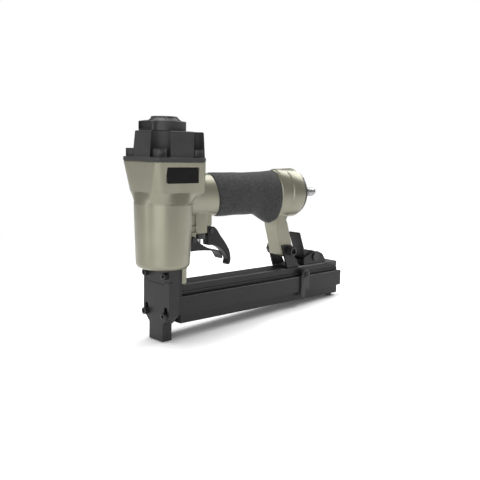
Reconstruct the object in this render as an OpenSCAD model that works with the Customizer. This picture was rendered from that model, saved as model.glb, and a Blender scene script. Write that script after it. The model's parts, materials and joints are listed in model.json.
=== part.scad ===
// Pneumatic nailer with a box magazine, rebuilt from its separate pieces.
// Origin: on the drive axis at the nose tip. +Z up the drive axis, -Y front, +X the side with the name plate.

/* [Casting] */
// Half width of the square upper part of the casting
head_half = 27; // [26:0.5:30]
// Rounding of the upright edges of the square part
head_corner = 5; // [3:0.5:7]
// Height of the square part
head_h = 29.6; // [26:0.2:34]
// Height of the shoulder under the square part
shoulder_h = 10.4; // [7:0.2:14]
// Radius of the round barrel at its top
barrel_r = 27.2; // [26.6:0.1:28.4]
// Taper of the barrel's radius from top to bottom
barrel_draft = 0.9; // [0.3:0.1:1.2]
// Radius of the rounded lower edge of the barrel
barrel_round = 7; // [4:0.5:9]
// Thickness of the casting's floor under the cylinder
floor_h = 8; // [7:0.5:11]
// Length of the bare name plate
plate_l = 38.2; // [30:0.2:42]
// Height of the bare name plate
plate_h = 14.4; // [10:0.2:18]
// Thickness of the name plate and depth of its recess
plate_t = 0.8; // [0.5:0.1:1.2]

/* [Head cap] */
// How far the cap's flange stands out past the casting
flange_out = 1; // [0.5:0.1:1.6]
// Thickness of the cap's flange
flange_t = 3.9; // [3:0.1:6]
// Height of the cap's block over its flange
cap_h = 24.2; // [22:0.2:28]
// Half width of the cap's four wings
wing_half = 14.4; // [12:0.1:15]
// Distance of the cap screws from the middle planes
cap_screw_at = 21; // [20.5:0.1:22]
// Radius of the exhaust deflector
deflector_r = 21.5; // [19.5:0.5:24]
// Height of the deflector's disc
deflector_h = 9.4; // [8:0.2:12]
// Height of the cone on the deflector
cone_h = 4.6; // [3.5:0.1:6]
// Width of the exhaust outlet
outlet_w = 23.8; // [16:0.2:26]

/* [Engine] */
// Stroke of the piston
stroke = 50; // [46:0.5:56]
// Radius of the cylinder's bore
cyl_r = 19; // [18:0.1:19.4]
// Wall of the cylinder sleeve
sleeve_wall = 1.5; // [1.2:0.1:2]
// Height of the piston
piston_h = 12; // [10:0.5:14]
// Height of the rubber bumper
bumper_h = 14; // [10:0.5:18]
// Lift of the head valve
valve_lift = 6; // [4:0.5:7]
// Width of the driver blade
blade_w = 11; // [9:0.1:11.2]
// Thickness of the driver blade
blade_t = 1.6; // [1.2:0.1:1.8]

/* [Nose] */
// Height of the nose from its tip to the casting
nose_h = 72; // [70:0.5:76]
// Half width of the nose tip
tip_half = 11; // [9.5:0.1:12.5]
// Height of the narrow tip
tip_h = 16.6; // [12:0.2:18]
// Half width of the wide nose block
nose_half = 20.9; // [20:0.1:22]
// Height of the slanted part between tip and block
nose_slope_h = 9.8; // [8:0.2:12]
// Thickness of the front plate
front_t = 5; // [4:0.1:5.6]
// Distance of the nose screws from the middle plane
nose_screw_at = 15.5; // [14.6:0.1:16]

/* [Handle] */
// Depth of the grip's middle below the top of the casting
handle_drop = 34; // [33:0.2:37]
// Half width of the foam grip
grip_a = 15; // [14:0.2:17]
// Half height of the foam grip
grip_b = 22.8; // [21:0.2:24]
// Thickness of the foam
foam_t = 3; // [2:0.2:4]
// Radius of the air chamber in the handle
chamber_r = 9; // [6:0.5:10]
// Where the foam ends in front of the rear bell
grip_end = 150; // [140:1:152]
// Length of the rear bell
bell_l = 30; // [27:1:34]
// Radius of the bell's rim
bell_r = 26.3; // [25.4:0.1:28]
// Thickness of the end cap's rim
end_cap_t = 2.8; // [2:0.1:4]
// Length of the air plug past the end cap's boss
plug_l = 28; // [26:0.5:32]
// Radius of the air plug's nose
plug_r = 5.2; // [4.8:0.1:6]
// Half width of the leg between the bell and the magazine
leg_half = 9.7; // [8:0.1:10.5]

/* [Trigger] */
// Half width of the trigger
trigger_half = 6.9; // [6.2:0.1:8]
// Thickness of the trigger's sheet
trigger_t = 2; // [1.4:0.1:2.2]
// Half width of the safety lever
lever_half = 4.55; // [4.2:0.05:5.4]
// Radius of the two lever pins' shanks
pin_r = 2; // [1.5:0.1:2.3]
// Radius of the trigger valve's cap
valve_r = 5.8; // [5.4:0.1:6]
// Radius of the valve stem
stem_r = 1.25; // [1:0.05:1.5]

/* [Magazine] */
// Half width of the fixed magazine channel
mag_half = 12.1; // [11.6:0.1:13]
// Height of the magazine's top over the nose tip
mag_top = 55.2; // [54:0.2:57]
// Where the magazine ends
mag_end = 259.3; // [252:0.5:268]
// Underside of the sliding cover over the nose tip
cover_z = 15.4; // [14:0.2:17]
// Lower edge of the cover's side bands
band_z = 25.6; // [24:0.2:26.4]
// Height of the cover's side bands
band_h = 18.1; // [16:0.1:18.6]
// Thickness of the cover's side bands
band_t = 4.6; // [3:0.1:5]
// Half width of the slot that holds the fasteners
slot_half = 6; // [5.8:0.1:6.6]
// Half width of the inner track
track_half = 4.4; // [4.2:0.1:4.7]
// Height of the two foot screws' heads
foot_h = 3.4; // [2.6:0.1:4]

/* [Rear fittings] */
// Thickness of the rear bracket's ears
ear_t = 2.3; // [1.6:0.1:3]
// Radius of the bracket bolt's shank
bolt_r = 3; // [2.5:0.1:3.5]
// Radius of the bracket bolt's head
bolt_head_r = 5; // [4.6:0.1:6]
// Half width of the latch housing
latch_half = 10; // [9:0.1:11]
// Half width of the latch's thumb plate
thumb_half = 8.3; // [6.5:0.1:8.5]
// Radius of the latch pin
latch_pin_r = 2.5; // [2:0.1:3]
// Thickness of the side clips
clip_t = 2; // [1.5:0.1:2.5]

/* [Hidden] */
$fn = 64;

// Clearances: a running fit, a piece in its seat, and two pieces that pass each other
run = 0.05;
seat = 0.1;
pass = 0.3;
// Reach of a cut past the surface that it opens
over = 1;

champagne = [0.56, 0.55, 0.46];
black = [0.16, 0.16, 0.17];
dark = [0.23, 0.23, 0.24];
steel = [0.7, 0.7, 0.72];
rubber = [0.1, 0.1, 0.11];

// Heights up the drive axis
rim_z = nose_h;
floor_z = rim_z + floor_h;
bumper_gap = 1.5;
piston_z = floor_z + bumper_h + bumper_gap + stroke;
sleeve_top = piston_z + piston_h + 2;
valve_disc_h = 3.5;
spigot_h = 5.6;
spigot_z = sleeve_top + valve_disc_h + valve_lift + 1;
top_z = spigot_z + spigot_h;
square_z = top_z - head_h;
shoulder_z = square_z - shoulder_h;
flange_z = top_z + flange_t;
cap_top = flange_z + cap_h;
roof_t = 5.7;
deflector_z = cap_top + pass;
disc_top = deflector_z + deflector_h;

// Engine radii
chamber_wall_r = cyl_r + sleeve_wall + 3;
skirt_r = 15.5;
skirt_wall = 3;
seal_r = 1;
cap_screw_r = 4;
cap_head_r = 6.5;
cap_head_h = 8;

// The nose in depth: front face, parting with the plate, rear face of tip and block
front_y = -8;
part_y = front_y + front_t;
groove_clear = 0.15;
groove_t = blade_t + 2 * groove_clear;
tip_back = 3.2;
block_back = 4.1;
wide_z = tip_h + nose_slope_h;
plate_top = nose_h - 11.9;
plate_dip = 2.7;
upper_screw_z = nose_h - 5.9;
lower_screw_z = wide_z + 0.4;
nose_shank_r = 2;
nose_head_r = 3.5;
nose_head_h = 4;
slot_rise = 6.2;
tang_half = 12;
flange_back = 9.5;

// The handle: middle line, rear bell and the leg's foot
handle_z = top_z - handle_drop;
bell_z = handle_z - 0.8;
bell_end = grip_end + bell_l;
root_inset = 1;
grip_front_top = 55.5;
grip_front_lean = 11.8;
swell_from = grip_end - 32;
swell_drop = 12.4;
swell_rise = 1.8;
swell_side = 1.4;
counter_r = 18;
counter_l = 8;
end_screw_at = 22;
end_screw_r = 1.5;
boss_r = 12;
boss_l = 9;
hex_r = 9.6;
hex_l = 6;
plug_y = bell_end + end_cap_t + boss_l;
plug_bore_r = 3.2;
bolt_y = 171.3;
bolt_z = mag_top + 19.6;
leg_eye_r = 8;

// Trigger group, hung from the middle line of the handle
pin_y = 33.8;
pin_z = handle_z - 44.7;
lever_y = 59;
lever_z = handle_z - 36.7;
valve_y = 46.5;
column_z = handle_z - 38.3;
column_half = 9;
valve_cap_z = column_z - 6.3;
valve_body_h = 27;
stem_tip_z = valve_cap_z - 5.9;
stem_head_z = column_z + 9;
pin_head_r = 3;
pin_head_t = 0.8;

// Magazine section, seen along Y
mag_z = band_z + 2.3;
band_in = mag_half + pass;
band_out = band_in + band_t;
cover_half = mag_half + 0.5;
cover_front = 12.9;
band_front = block_back + 0.4;
cover_end = mag_end + 2.1;
cover_floor = 2.1;
slot_top = 47.5;
track_top = slot_top - 2.3;
rod_z = track_top - 8.7;
rod_r = 1.6;
track_wall = 1;
pusher_y = 16;
pusher_l = 18;
foot_y = mag_end - 9.3;
foot_at = 7.8;
foot_r = 3.5;
lug_front = 10.8;
lug_back = 18.6;
lug_half = 15.4;

// Rear fittings on the magazine's top
latch_y = 219.9;
latch_z = mag_top + 8.3;
clip_y = 193.5;
clip_w = 14.4;
clip_screw_z = band_z + band_h + 1.9;
clip_screw_y = clip_y + 0.7;

function arc(cx, cy, r, from, to, steps) =
    [for (i = [0:steps]) let (t = from + (to - from) * i / steps) [cx + r * cos(t), cy + r * sin(t)]];

function ease(t) = t <= 0 ? 0 : t >= 1 ? 1 : t * t * (3 - 2 * t);

function joined(lists) = [for (list = lists) for (item = list) item];

// Closed skin over rings of equally many points, each ring counter-clockwise seen from the last one's side
module loft(rings) {
    n = len(rings[0]);
    last = (len(rings) - 1) * n;
    sides = [for (k = [0:n:last - n]) for (i = [0:n - 1]) let (j = (i + 1) % n)
        each [[k + i, k + n + i, k + n + j], [k + i, k + n + j, k + j]]];
    polyhedron(joined(rings), concat([[for (i = [0:n - 1]) i]], [[for (i = [n - 1:-1:0]) last + i]], sides));
}

// Square with rounded corners as a ring at height z
function square_ring(half, r, z, steps = 6) = joined([for (q = [0:3])
    let (sx = q == 0 || q == 3 ? 1 : -1, sy = q < 2 ? 1 : -1)
    [for (p = arc(sx * (half - r), sy * (half - r), r, 90 * q, 90 * q + 90, steps)) [p[0], p[1], z]]]);

// Oval ring square to Y, between a lower and an upper edge
function oval_ring(y, a, low, high, n = 36) =
    [for (i = [0:n - 1]) [a * cos(360 * i / n), y, (low + high) / 2 - (high - low) / 2 * sin(360 * i / n)]];

module round_rect(w, d, r) {
    square([w - 2 * r, d], center = true);
    square([w, d - 2 * r], center = true);
    for (sx = [-1, 1], sy = [-1, 1])
        translate([sx * (w / 2 - r), sy * (d / 2 - r)]) circle(r);
}

// Outline in the YZ plane, drawn as [y, z] points, spread from -half to +half in X
module across(half) {
    translate([-half, 0, 0]) rotate([90, 0, 90]) linear_extrude(2 * half) children();
}

// Outline in the XZ plane, drawn as [x, z] points, from y0 to y1
module along(y0, y1) {
    translate([0, y1, 0]) rotate([90, 0, 0]) linear_extrude(y1 - y0) children();
}

// Round bar in X through a point of the YZ plane
module bar_x(y, z, r, x0, x1) {
    translate([x0, y, z]) rotate([0, 90, 0]) cylinder(x1 - x0, r = r);
}

// Round bar in Y through a point of the XZ plane
module bar_y(x, z, r, y0, y1) {
    translate([x, y0, z]) rotate([-90, 0, 0]) cylinder(y1 - y0, r = r);
}

module at_corners(d) {
    for (sx = [-1, 1], sy = [-1, 1]) translate([sx * d, sy * d, 0]) children();
}

// Socket screw hanging down from z = 0, its head above
module cap_screw(shank_r, shank_l, head_r, head_h) {
    difference() {
        union() {
            cylinder(head_h, r = head_r);
            translate([0, 0, -shank_l]) cylinder(shank_l, r = shank_r);
        }
        translate([0, 0, head_h * 0.45]) cylinder(head_h, r = head_r * 0.55, $fn = 6);
    }
}

// Compression spring on Z from z = 0 to h, with one closed turn at each end
module spring(r, wire, turns, h, ring = 12, sides = 6) {
    dead = wire * 2.1;
    steps = turns * ring;
    rise = h - 2 * dead - 2 * wire;
    loft([for (i = [0:steps])
        let (t = i / ring, a = 360 * t,
            z = wire + (t < 1 ? dead * t : t > turns - 1 ? dead + rise + dead * (t - turns + 1)
                : dead + rise * (t - 1) / (turns - 2)))
        [for (k = [0:sides - 1]) let (b = 360 * k / sides, d = r + wire * cos(b))
            [d * cos(a), d * sin(a), z + wire * sin(b)]]]);
}

function grip_low(y) = handle_z - grip_b - swell_drop * ease((y - swell_from) / (grip_end - swell_from));
function grip_high(y) = handle_z + grip_b + swell_rise * ease((y - swell_from) / (grip_end - swell_from));
function grip_side(y) = grip_a + swell_side * ease((y - swell_from) / (grip_end - swell_from));

// The grip's outer shape, drawn in by a margin all round, from y0 to its rear end
module grip_shape(inset, y0, y1) {
    span = y1 - swell_from;
    loft([for (y = concat([y0, swell_from], [for (k = [1:6]) swell_from + span * k / 6]))
        oval_ring(y, grip_side(y) - inset, grip_low(y) + inset, grip_high(y) - inset)]);
}

// Everything in front of the slanted front edge of the foam
module before_foam(gap) {
    translate([0, grip_front_top - gap, handle_z + grip_b]) rotate([grip_front_lean, 0, 0])
        translate([-60, -120, -120]) cube([120, 120, 160]);
}

module barrel_profile() {
    low_r = barrel_r - barrel_draft;
    polygon(concat([[0, rim_z]], arc(low_r - barrel_round, rim_z + barrel_round, barrel_round, -90, 0, 8),
        [[barrel_r, shoulder_z], [barrel_r, square_z], [0, square_z]]));
}

module head_shape() {
    shrink = 4.4;
    soft = head_corner + shrink;
    loft(concat(
        [for (k = [0:5]) let (t = k / 5) square_ring(head_half - 0.02 * (5 - k),
            soft + (head_half - 0.3 - soft) * (1 - ease(t)), shoulder_z + shoulder_h * t)],
        [square_ring(head_half, head_corner, top_z)]));
}

module bell_shape() {
    step_y = grip_end + bell_l * 0.5;
    loft([
        oval_ring(grip_end, grip_side(grip_end) - 0.6, grip_low(grip_end) + 5, grip_high(grip_end) - 0.8),
        oval_ring(grip_end + 7, grip_a + 3.6, bell_z - bell_r + 0.8, bell_z + bell_r - 0.8),
        oval_ring(step_y, grip_a + 6, bell_z - bell_r + 1, bell_z + bell_r - 0.6),
        oval_ring(step_y + 0.8, grip_a + 7, bell_z - bell_r, bell_z + bell_r),
        oval_ring(grip_end + bell_l * 0.75, (grip_a + 7 + bell_r) / 2 + 0.9, bell_z - bell_r, bell_z + bell_r),
        oval_ring(bell_end, bell_r, bell_z - bell_r, bell_z + bell_r)]);
}

// The leg leans back from the bell to an eye round the bracket bolt
module leg_outline() {
    lean = 0.353;
    front_y_low = bolt_y - 10.8;
    low_z = bolt_z - 2;
    high_z = grip_low(grip_end) + 6;
    back_z = high_z - 6;
    polygon(concat(
        [[front_y_low - (high_z - low_z) * lean, high_z], [front_y_low, low_z]],
        arc(front_y_low + 3, low_z, 3, 180, 270, 4),
        arc(bolt_y, bolt_z, leg_eye_r, -60, 20, 6),
        [[bolt_y + 5.2 - (back_z - bolt_z - 6) * lean, back_z]],
        arc(bolt_y + 3, back_z + 1.5, 9, 180, 110, 4),
        [[bolt_y - 12, bell_z - bell_r + 9]]));
}

module trigger_housing() {
    // front column, rear column, ledges beside the barrel
    translate([0, 0, column_z]) linear_extrude(handle_z - column_z)
        translate([0, 42.25]) round_rect(2 * column_half, 15.5, 3);
    translate([-column_half + 1, 45, column_z + 7]) cube([2 * column_half - 2, 11.2, handle_z - column_z - 7]);
    translate([-column_half + 2.5, 20, column_z]) cube([2 * column_half - 5, 20, handle_z - column_z]);
    for (z = [column_z, column_z + 6.4])
        translate([-column_half + 0.6, 20, z]) cube([2 * column_half - 1.2, 16, 1.6]);
    // lug between the trigger's sides
    across(trigger_half - trigger_t - pass) {
        translate([pin_y, pin_z]) circle(4.4);
        translate([pin_y - 4.4, pin_z]) square([8.8, column_z - pin_z + over]);
    }
    // lug between the safety lever's sides
    across(lever_half - 1.3 - pass) {
        translate([lever_y, lever_z]) circle(4.2);
        polygon([[lever_y - 9, lever_z - 1], [lever_y - 3, lever_z - 3.3], [lever_y + 1.5, lever_z + 3.9],
            [lever_y - 3.2, lever_z + 7], [lever_y - 9, lever_z + 7]]);
    }
}

module body_housing() {
    color(champagne) difference() {
        union() {
            rotate_extrude() barrel_profile();
            head_shape();
            // seat over the nose block
            translate([-nose_half, front_y, rim_z]) cube([2 * nose_half, block_back - front_y, floor_h]);
            // rear lug down to the magazine
            translate([0, 0, mag_top]) linear_extrude(rim_z + barrel_round - mag_top + 6)
                translate([0, (lug_front + lug_back) / 2]) round_rect(2 * lug_half, lug_back - lug_front, 2.5);
            intersection() {
                grip_shape(root_inset, 12, grip_end);
                before_foam(seat);
            }
            grip_shape(foam_t + seat, 50, grip_end + seat);
            bell_shape();
            across(leg_half) leg_outline();
            trigger_housing();
        }
        // engine chamber and the slot for the blade and the nose's tang
        translate([0, 0, floor_z]) cylinder(top_z - floor_z + over, r = chamber_wall_r);
        translate([-tang_half - seat, part_y - 2 - seat, rim_z - over])
            cube([2 * (tang_half + seat), block_back - 1 - part_y + 2 + 2 * seat, floor_h + 2 * over]);
        at_corners(cap_screw_at) translate([0, 0, top_z - 21]) cylinder(22, r = cap_screw_r + run);
        // recess of the name plate
        translate([head_half - plate_t, 1.7, top_z - 13]) rotate([90, 0, 90]) linear_extrude(over + plate_t)
            round_rect(plate_l, plate_h, 1.5);
        // air chamber, its passage to the engine and the rear opening
        bar_y(0, handle_z, chamber_r, 38, grip_end + bell_l / 2);
        bar_y(0, handle_z, 4, 15, 40);
        bar_y(0, bell_z, chamber_r, grip_end, bell_end);
        bar_y(0, bell_z, counter_r, bell_end - counter_l, bell_end + over);
        for (a = [45:90:315])
            bar_y(end_screw_at * cos(a), bell_z + end_screw_at * sin(a), end_screw_r + run, bell_end - 7,
                bell_end + over);
        // trigger valve
        translate([0, valve_y, column_z - over]) cylinder(valve_body_h - 6.3 + over, r = valve_r + 0.4 + run);
        translate([0, valve_y, column_z]) cylinder(handle_z - column_z, r = 2);
        bar_x(pin_y, pin_z, pin_r + run, -20, 20);
        bar_x(lever_y, lever_z, pin_r + run, -20, 20);
        bar_x(bolt_y, bolt_z, bolt_r + run, -20, 20);
        // tapped holes for the screws from the magazine
        for (sx = [-1, 1]) translate([sx * 9.1, (lug_front + lug_back) / 2, mag_top - over])
            cylinder(11 + over, r = 1.5 + run);
    }
}

module name_plate() {
    color(black) translate([head_half - plate_t, 1.7, top_z - 13]) rotate([90, 0, 90])
        linear_extrude(plate_t) round_rect(plate_l - 2 * seat, plate_h - 2 * seat, 1.4);
}

// One straight bar of the cap's cross, drawn in towards its top
module wing() {
    reach = head_half + flange_out - 0.5;
    hull() {
        translate([0, 0, flange_z - 0.5]) linear_extrude(0.5) round_rect(2 * reach, 2 * wing_half, 2.5, $fn = 32);
        translate([0, 0, cap_top - 0.8]) linear_extrude(0.01)
            round_rect(2 * reach - 4, 2 * wing_half - 2.2, 2.5, $fn = 32);
        translate([0, 0, cap_top - 0.01]) linear_extrude(0.01)
            round_rect(2 * reach - 6, 2 * wing_half - 4, 2, $fn = 32);
    }
}

module head_cap() {
    flange_half = head_half + flange_out;
    color(black) difference() {
        union() {
            translate([0, 0, top_z]) linear_extrude(flange_t) round_rect(2 * flange_half, 2 * flange_half, head_corner);
            wing();
            rotate([0, 0, 90]) wing();
            translate([0, 0, flange_z - 0.1]) cylinder(cap_h + 0.1, r = skirt_r + 4);
            translate([0, 0, spigot_z]) cylinder(spigot_h + over, r = chamber_wall_r - seat);
        }
        translate([0, 0, spigot_z - over]) cylinder(cap_top - roof_t - spigot_z + over, r = skirt_r + run);
        // groove of the seal
        translate([0, 0, spigot_z + spigot_h / 2]) difference() {
            cylinder(2 * seal_r + 0.2, r = chamber_wall_r + over, center = true);
            cylinder(2 * seal_r + over, r = chamber_wall_r - 2 * seal_r, center = true);
        }
        at_corners(cap_screw_at) translate([0, 0, top_z - over]) cylinder(flange_t + 2 * over, r = cap_screw_r + run);
        at_corners(cap_screw_at) translate([0, 0, flange_z]) cylinder(cap_h, r = cap_head_r + pass);
        // exhaust ports round the deflector's screw
        translate([0, 0, cap_top - roof_t - over]) {
            cylinder(roof_t + 2 * over, r = 2.5 + run);
            for (a = [0:60:300]) rotate([0, 0, a]) translate([9.5, 0, 0]) cylinder(roof_t + 2 * over, r = 2.6);
        }
    }
}

module head_cap_screws() {
    color(dark) at_corners(cap_screw_at) translate([0, 0, flange_z])
        cap_screw(cap_screw_r, flange_t + 18, cap_head_r, cap_head_h);
}

module head_seal() {
    color(rubber) translate([0, 0, spigot_z + spigot_h / 2]) rotate_extrude()
        translate([chamber_wall_r - seal_r - 0.05, 0]) circle(seal_r - 0.05, $fn = 32);
}

module exhaust_deflector() {
    outlet_y = -deflector_r - 2;
    wall = 3;
    cone_r = deflector_r * 0.77;
    cone_top_r = cone_r - 6.1;
    color(black) difference() {
        union() {
            translate([0, 0, deflector_z]) cylinder(deflector_h - 1, r = deflector_r);
            translate([0, 0, disc_top - 1]) cylinder(1, r1 = deflector_r, r2 = deflector_r - 1);
            translate([-outlet_w / 2 - 1.6, outlet_y, deflector_z]) cube([outlet_w + 3.2, -outlet_y, deflector_h - 0.6]);
            translate([0, 0, disc_top]) cylinder(cone_h, r1 = cone_r, r2 = cone_top_r);
        }
        difference() {
            translate([0, 0, deflector_z - over]) cylinder(deflector_h - wall + over, r = deflector_r - wall);
            translate([0, 0, deflector_z - 2 * over]) cylinder(deflector_h + over, r = 6);
        }
        difference() {
            translate([0, outlet_y - over, deflector_z + deflector_h / 2 - 0.4]) rotate([-90, 0, 0])
                linear_extrude(-outlet_y - 5) round_rect(outlet_w - 2, deflector_h - 3, 1.6);
            translate([0, 0, deflector_z - over]) cylinder(deflector_h + over, r = 6);
        }
        // sunk panels between the six ribs of the cone
        for (a = [0:60:300]) rotate([0, 0, a + 9]) rotate_extrude(angle = 42)
            polygon([[cone_r - 0.6, disc_top + 0.5], [cone_r + 2, disc_top + 0.5], [cone_r, disc_top + cone_h],
                [cone_top_r + 0.5, disc_top + cone_h - 0.6], [cone_top_r + 0.4, disc_top + cone_h - 1.6]]);
        translate([0, 0, deflector_z - over]) cylinder(deflector_h + cone_h + 2 * over, r = 2.5 + run);
        translate([0, 0, disc_top + cone_h - 3]) cylinder(3 + over, r = 5.2);
    }
}

module deflector_screw() {
    color(dark) translate([0, 0, disc_top + cone_h - 3])
        cap_screw(2.5, disc_top + cone_h - 3 - cap_top + roof_t - 0.7, 4.8, 2.8);
}

module cylinder_sleeve() {
    out = cyl_r + sleeve_wall;
    collar = chamber_wall_r - run;
    mid = floor_z + (sleeve_top - floor_z) * 0.5;
    color(steel) difference() {
        rotate_extrude() polygon([[cyl_r, floor_z], [collar, floor_z], [collar, floor_z + 6], [out, floor_z + 8],
            [out, mid - 2], [collar, mid], [collar, mid + 6], [out, mid + 8], [out, sleeve_top - 4],
            [out + 1, sleeve_top - 2], [out + 1, sleeve_top], [cyl_r, sleeve_top]]);
        // return ports in a ring under the middle collar
        for (a = [0:30:330]) rotate([0, 0, a]) bar_x(0, mid - 8, 1.5, cyl_r - 2, out + 2);
    }
}

module piston() {
    r = cyl_r - 2 * run;
    mid = piston_z + piston_h / 2;
    color(steel) difference() {
        rotate_extrude() polygon([[0, piston_z], [r - 1, piston_z], [r, piston_z + 1], [r, mid - seal_r - 0.2],
            [r - 2 * seal_r, mid - seal_r - 0.2], [r - 2 * seal_r, mid + seal_r + 0.2], [r, mid + seal_r + 0.2],
            [r, piston_z + piston_h - 1], [r - 1, piston_z + piston_h], [r - 5, piston_z + piston_h],
            [r - 7, piston_z + piston_h - 2.5], [0, piston_z + piston_h - 2.5]]);
        blade_slot(blade_w / 2 + run, piston_z - over, piston_z + 8 + run, run);
    }
}

// The blade's place in depth: it runs in the groove behind the front plate
module blade_slot(half, z0, z1, clear) {
    translate([-half, part_y + groove_clear - clear, z0]) cube([2 * half, blade_t + 2 * clear, z1 - z0]);
}

module piston_ring() {
    color(rubber) translate([0, 0, piston_z + piston_h / 2]) rotate_extrude()
        translate([cyl_r - run - seal_r, 0]) circle(seal_r - 0.01, $fn = 32);
}

module driver_blade() {
    color(steel) blade_slot(blade_w / 2, stroke, piston_z + 8, 0);
}

module bumper() {
    color(rubber) rotate_extrude() polygon([[8, floor_z], [cyl_r - seat, floor_z],
        [cyl_r - seat, floor_z + bumper_h * 0.35], [cyl_r - 3, floor_z + bumper_h * 0.5],
        [cyl_r - 2, floor_z + bumper_h * 0.7], [cyl_r - 4, floor_z + bumper_h], [9, floor_z + bumper_h],
        [8, floor_z + bumper_h - 1]]);
}

module head_valve() {
    color(black) rotate_extrude() polygon([[9, sleeve_top], [chamber_wall_r - 0.7, sleeve_top],
        [chamber_wall_r - 0.7, sleeve_top + valve_disc_h], [skirt_r, sleeve_top + valve_disc_h],
        [skirt_r, sleeve_top + 20], [skirt_r - skirt_wall, sleeve_top + 20],
        [skirt_r - skirt_wall, sleeve_top + valve_disc_h], [9, sleeve_top + valve_disc_h]]);
}

module head_valve_spring() {
    z = sleeve_top + valve_disc_h;
    color(steel) translate([0, 0, z]) spring(skirt_r - skirt_wall - 1.7, 0.8, 5, cap_top - roof_t - z);
}

module grip_sleeve() {
    color(rubber) difference() {
        grip_shape(0, 50, grip_end - seat);
        grip_shape(foam_t, 48, grip_end + 1);
        before_foam(0);
        across(leg_half + seat) leg_outline();
        trigger_clearance();
    }
}

// Room in the foam for the rear column of the trigger housing
module trigger_clearance() {
    translate([-column_half - seat + 1, 45, handle_z - 40]) cube([2 * (column_half + seat) - 2, 11.2 + pass, 40]);
}

module end_cap() {
    color(black) difference() {
        union() {
            bar_y(0, bell_z, counter_r - seat, bell_end - counter_l + 1, bell_end + 0.1);
            bar_y(0, bell_z, bell_r, bell_end, bell_end + end_cap_t - 0.8);
            translate([0, bell_end + end_cap_t - 0.8, bell_z]) rotate([-90, 0, 0])
                cylinder(0.8, r1 = bell_r, r2 = bell_r - 0.8);
            bar_y(0, bell_z, boss_r, bell_end, plug_y);
        }
        bar_y(0, bell_z, 6.4 + run, bell_end - counter_l, plug_y + over);
        for (a = [45:90:315])
            bar_y(end_screw_at * cos(a), bell_z + end_screw_at * sin(a), end_screw_r + run, bell_end - over,
                bell_end + 20);
        // groove of the seal
        translate([0, bell_end - counter_l / 2, bell_z]) rotate([90, 0, 0]) difference() {
            cylinder(2 * seal_r + 0.2, r = counter_r + over, center = true);
            cylinder(2 * seal_r + over, r = counter_r - 2 * seal_r, center = true);
        }
    }
}

module end_cap_screws() {
    color(dark) for (a = [45:90:315])
        translate([end_screw_at * cos(a), bell_end + end_cap_t, bell_z + end_screw_at * sin(a)])
            rotate([-90, 0, 0]) cap_screw(end_screw_r, end_cap_t + 6, 2.7, 2.6);
}

module end_cap_seal() {
    color(rubber) translate([0, bell_end - counter_l / 2, bell_z]) rotate([90, 0, 0]) rotate_extrude()
        translate([counter_r - seal_r - 0.05, 0]) circle(seal_r - 0.05, $fn = 32);
}

// Quick-coupling plug: threaded root, hexagon, two collars and a smooth nose
module air_plug() {
    tip = plug_y + hex_l + plug_l;
    nose = tip - 10.7;
    color(steel) difference() {
        union() {
            translate([0, plug_y, bell_z]) rotate([-90, 30, 0]) cylinder(hex_l, r = hex_r, $fn = 6);
            translate([0, 0, bell_z]) rotate([-90, 0, 0]) rotate_extrude() polygon([[0, bell_end - 5],
                [6.4, bell_end - 5], [6.4, plug_y + hex_l], [plug_r - 0.9, plug_y + hex_l + 0.5],
                [plug_r - 0.9, nose - 11], [plug_r + 0.3, nose - 10], [plug_r + 0.3, nose - 7],
                [plug_r - 0.9, nose - 6], [plug_r - 0.9, nose - 3.4], [plug_r + 0.3, nose - 2.6],
                [plug_r + 0.3, nose - 0.6], [plug_r, nose], [plug_r, tip - 2.7], [plug_r - 1.4, tip], [0, tip]]);
        }
        bar_y(0, bell_z, plug_bore_r, bell_end - 6, tip + over);
    }
}

module valve_body() {
    top = valve_cap_z + valve_body_h;
    color(black) translate([0, valve_y, 0]) difference() {
        union() {
            translate([0, 0, valve_cap_z]) cylinder(column_z - valve_cap_z, r = valve_r);
            translate([0, 0, column_z - 0.1]) cylinder(top - column_z + 0.1 - seat, r = valve_r + 0.4);
        }
        translate([0, 0, valve_cap_z - over]) cylinder(20, r = stem_r + run);
        translate([0, 0, column_z + 2]) cylinder(top - column_z, r = valve_r - 2.2);
    }
}

module valve_stem() {
    color(steel) translate([0, valve_y, 0]) {
        translate([0, 0, stem_tip_z]) cylinder(stem_head_z + 1 - stem_tip_z, r = stem_r);
        translate([0, 0, stem_head_z]) cylinder(2, r = valve_r - 2.2 - run);
    }
}

module valve_spring() {
    color(steel) translate([0, valve_y, stem_head_z + 2])
        spring(valve_r - 3.2, 0.4, 5, valve_cap_z + valve_body_h - seat - stem_head_z - 2, 10);
}

// Side outline of the trigger: deep at its pin, thin and curved down where the finger pulls
module trigger_outline(web) {
    y = pin_y;
    z = pin_z;
    polygon(concat(web
        ? [[y - 5.1, z - 9.2], [y + 14, z - 9.6], [y + 26, z - 10.7]]
        : [[y - 4.4, z + 3.6], [y + 0.8, z + 3.2], [y + 5.3, z - 0.1], [y + 5.9, z - 2.2], [y + 7.6, z - 3.8],
            [y + 11.4, z - 5.9], [y + 18.3, z - 9.3]],
        [[y + 23.8, z - 10.7], [y + 30.8, z - 12.2], [y + 35, z - 13.5], [y + 37.8, z - 15.8],
            [y + 39.8, z - 18.7], [y + 40.2, z - 21.9], [y + 39.2, z - 21.9], [y + 37.6, z - 18.2],
            [y + 34.3, z - 14.9], [y + 29.3, z - 13.4], [y + 18.5, z - 12.2], [y + 5.7, z - 11.1],
            [y - 5.1, z - 11.3]]));
}

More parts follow.
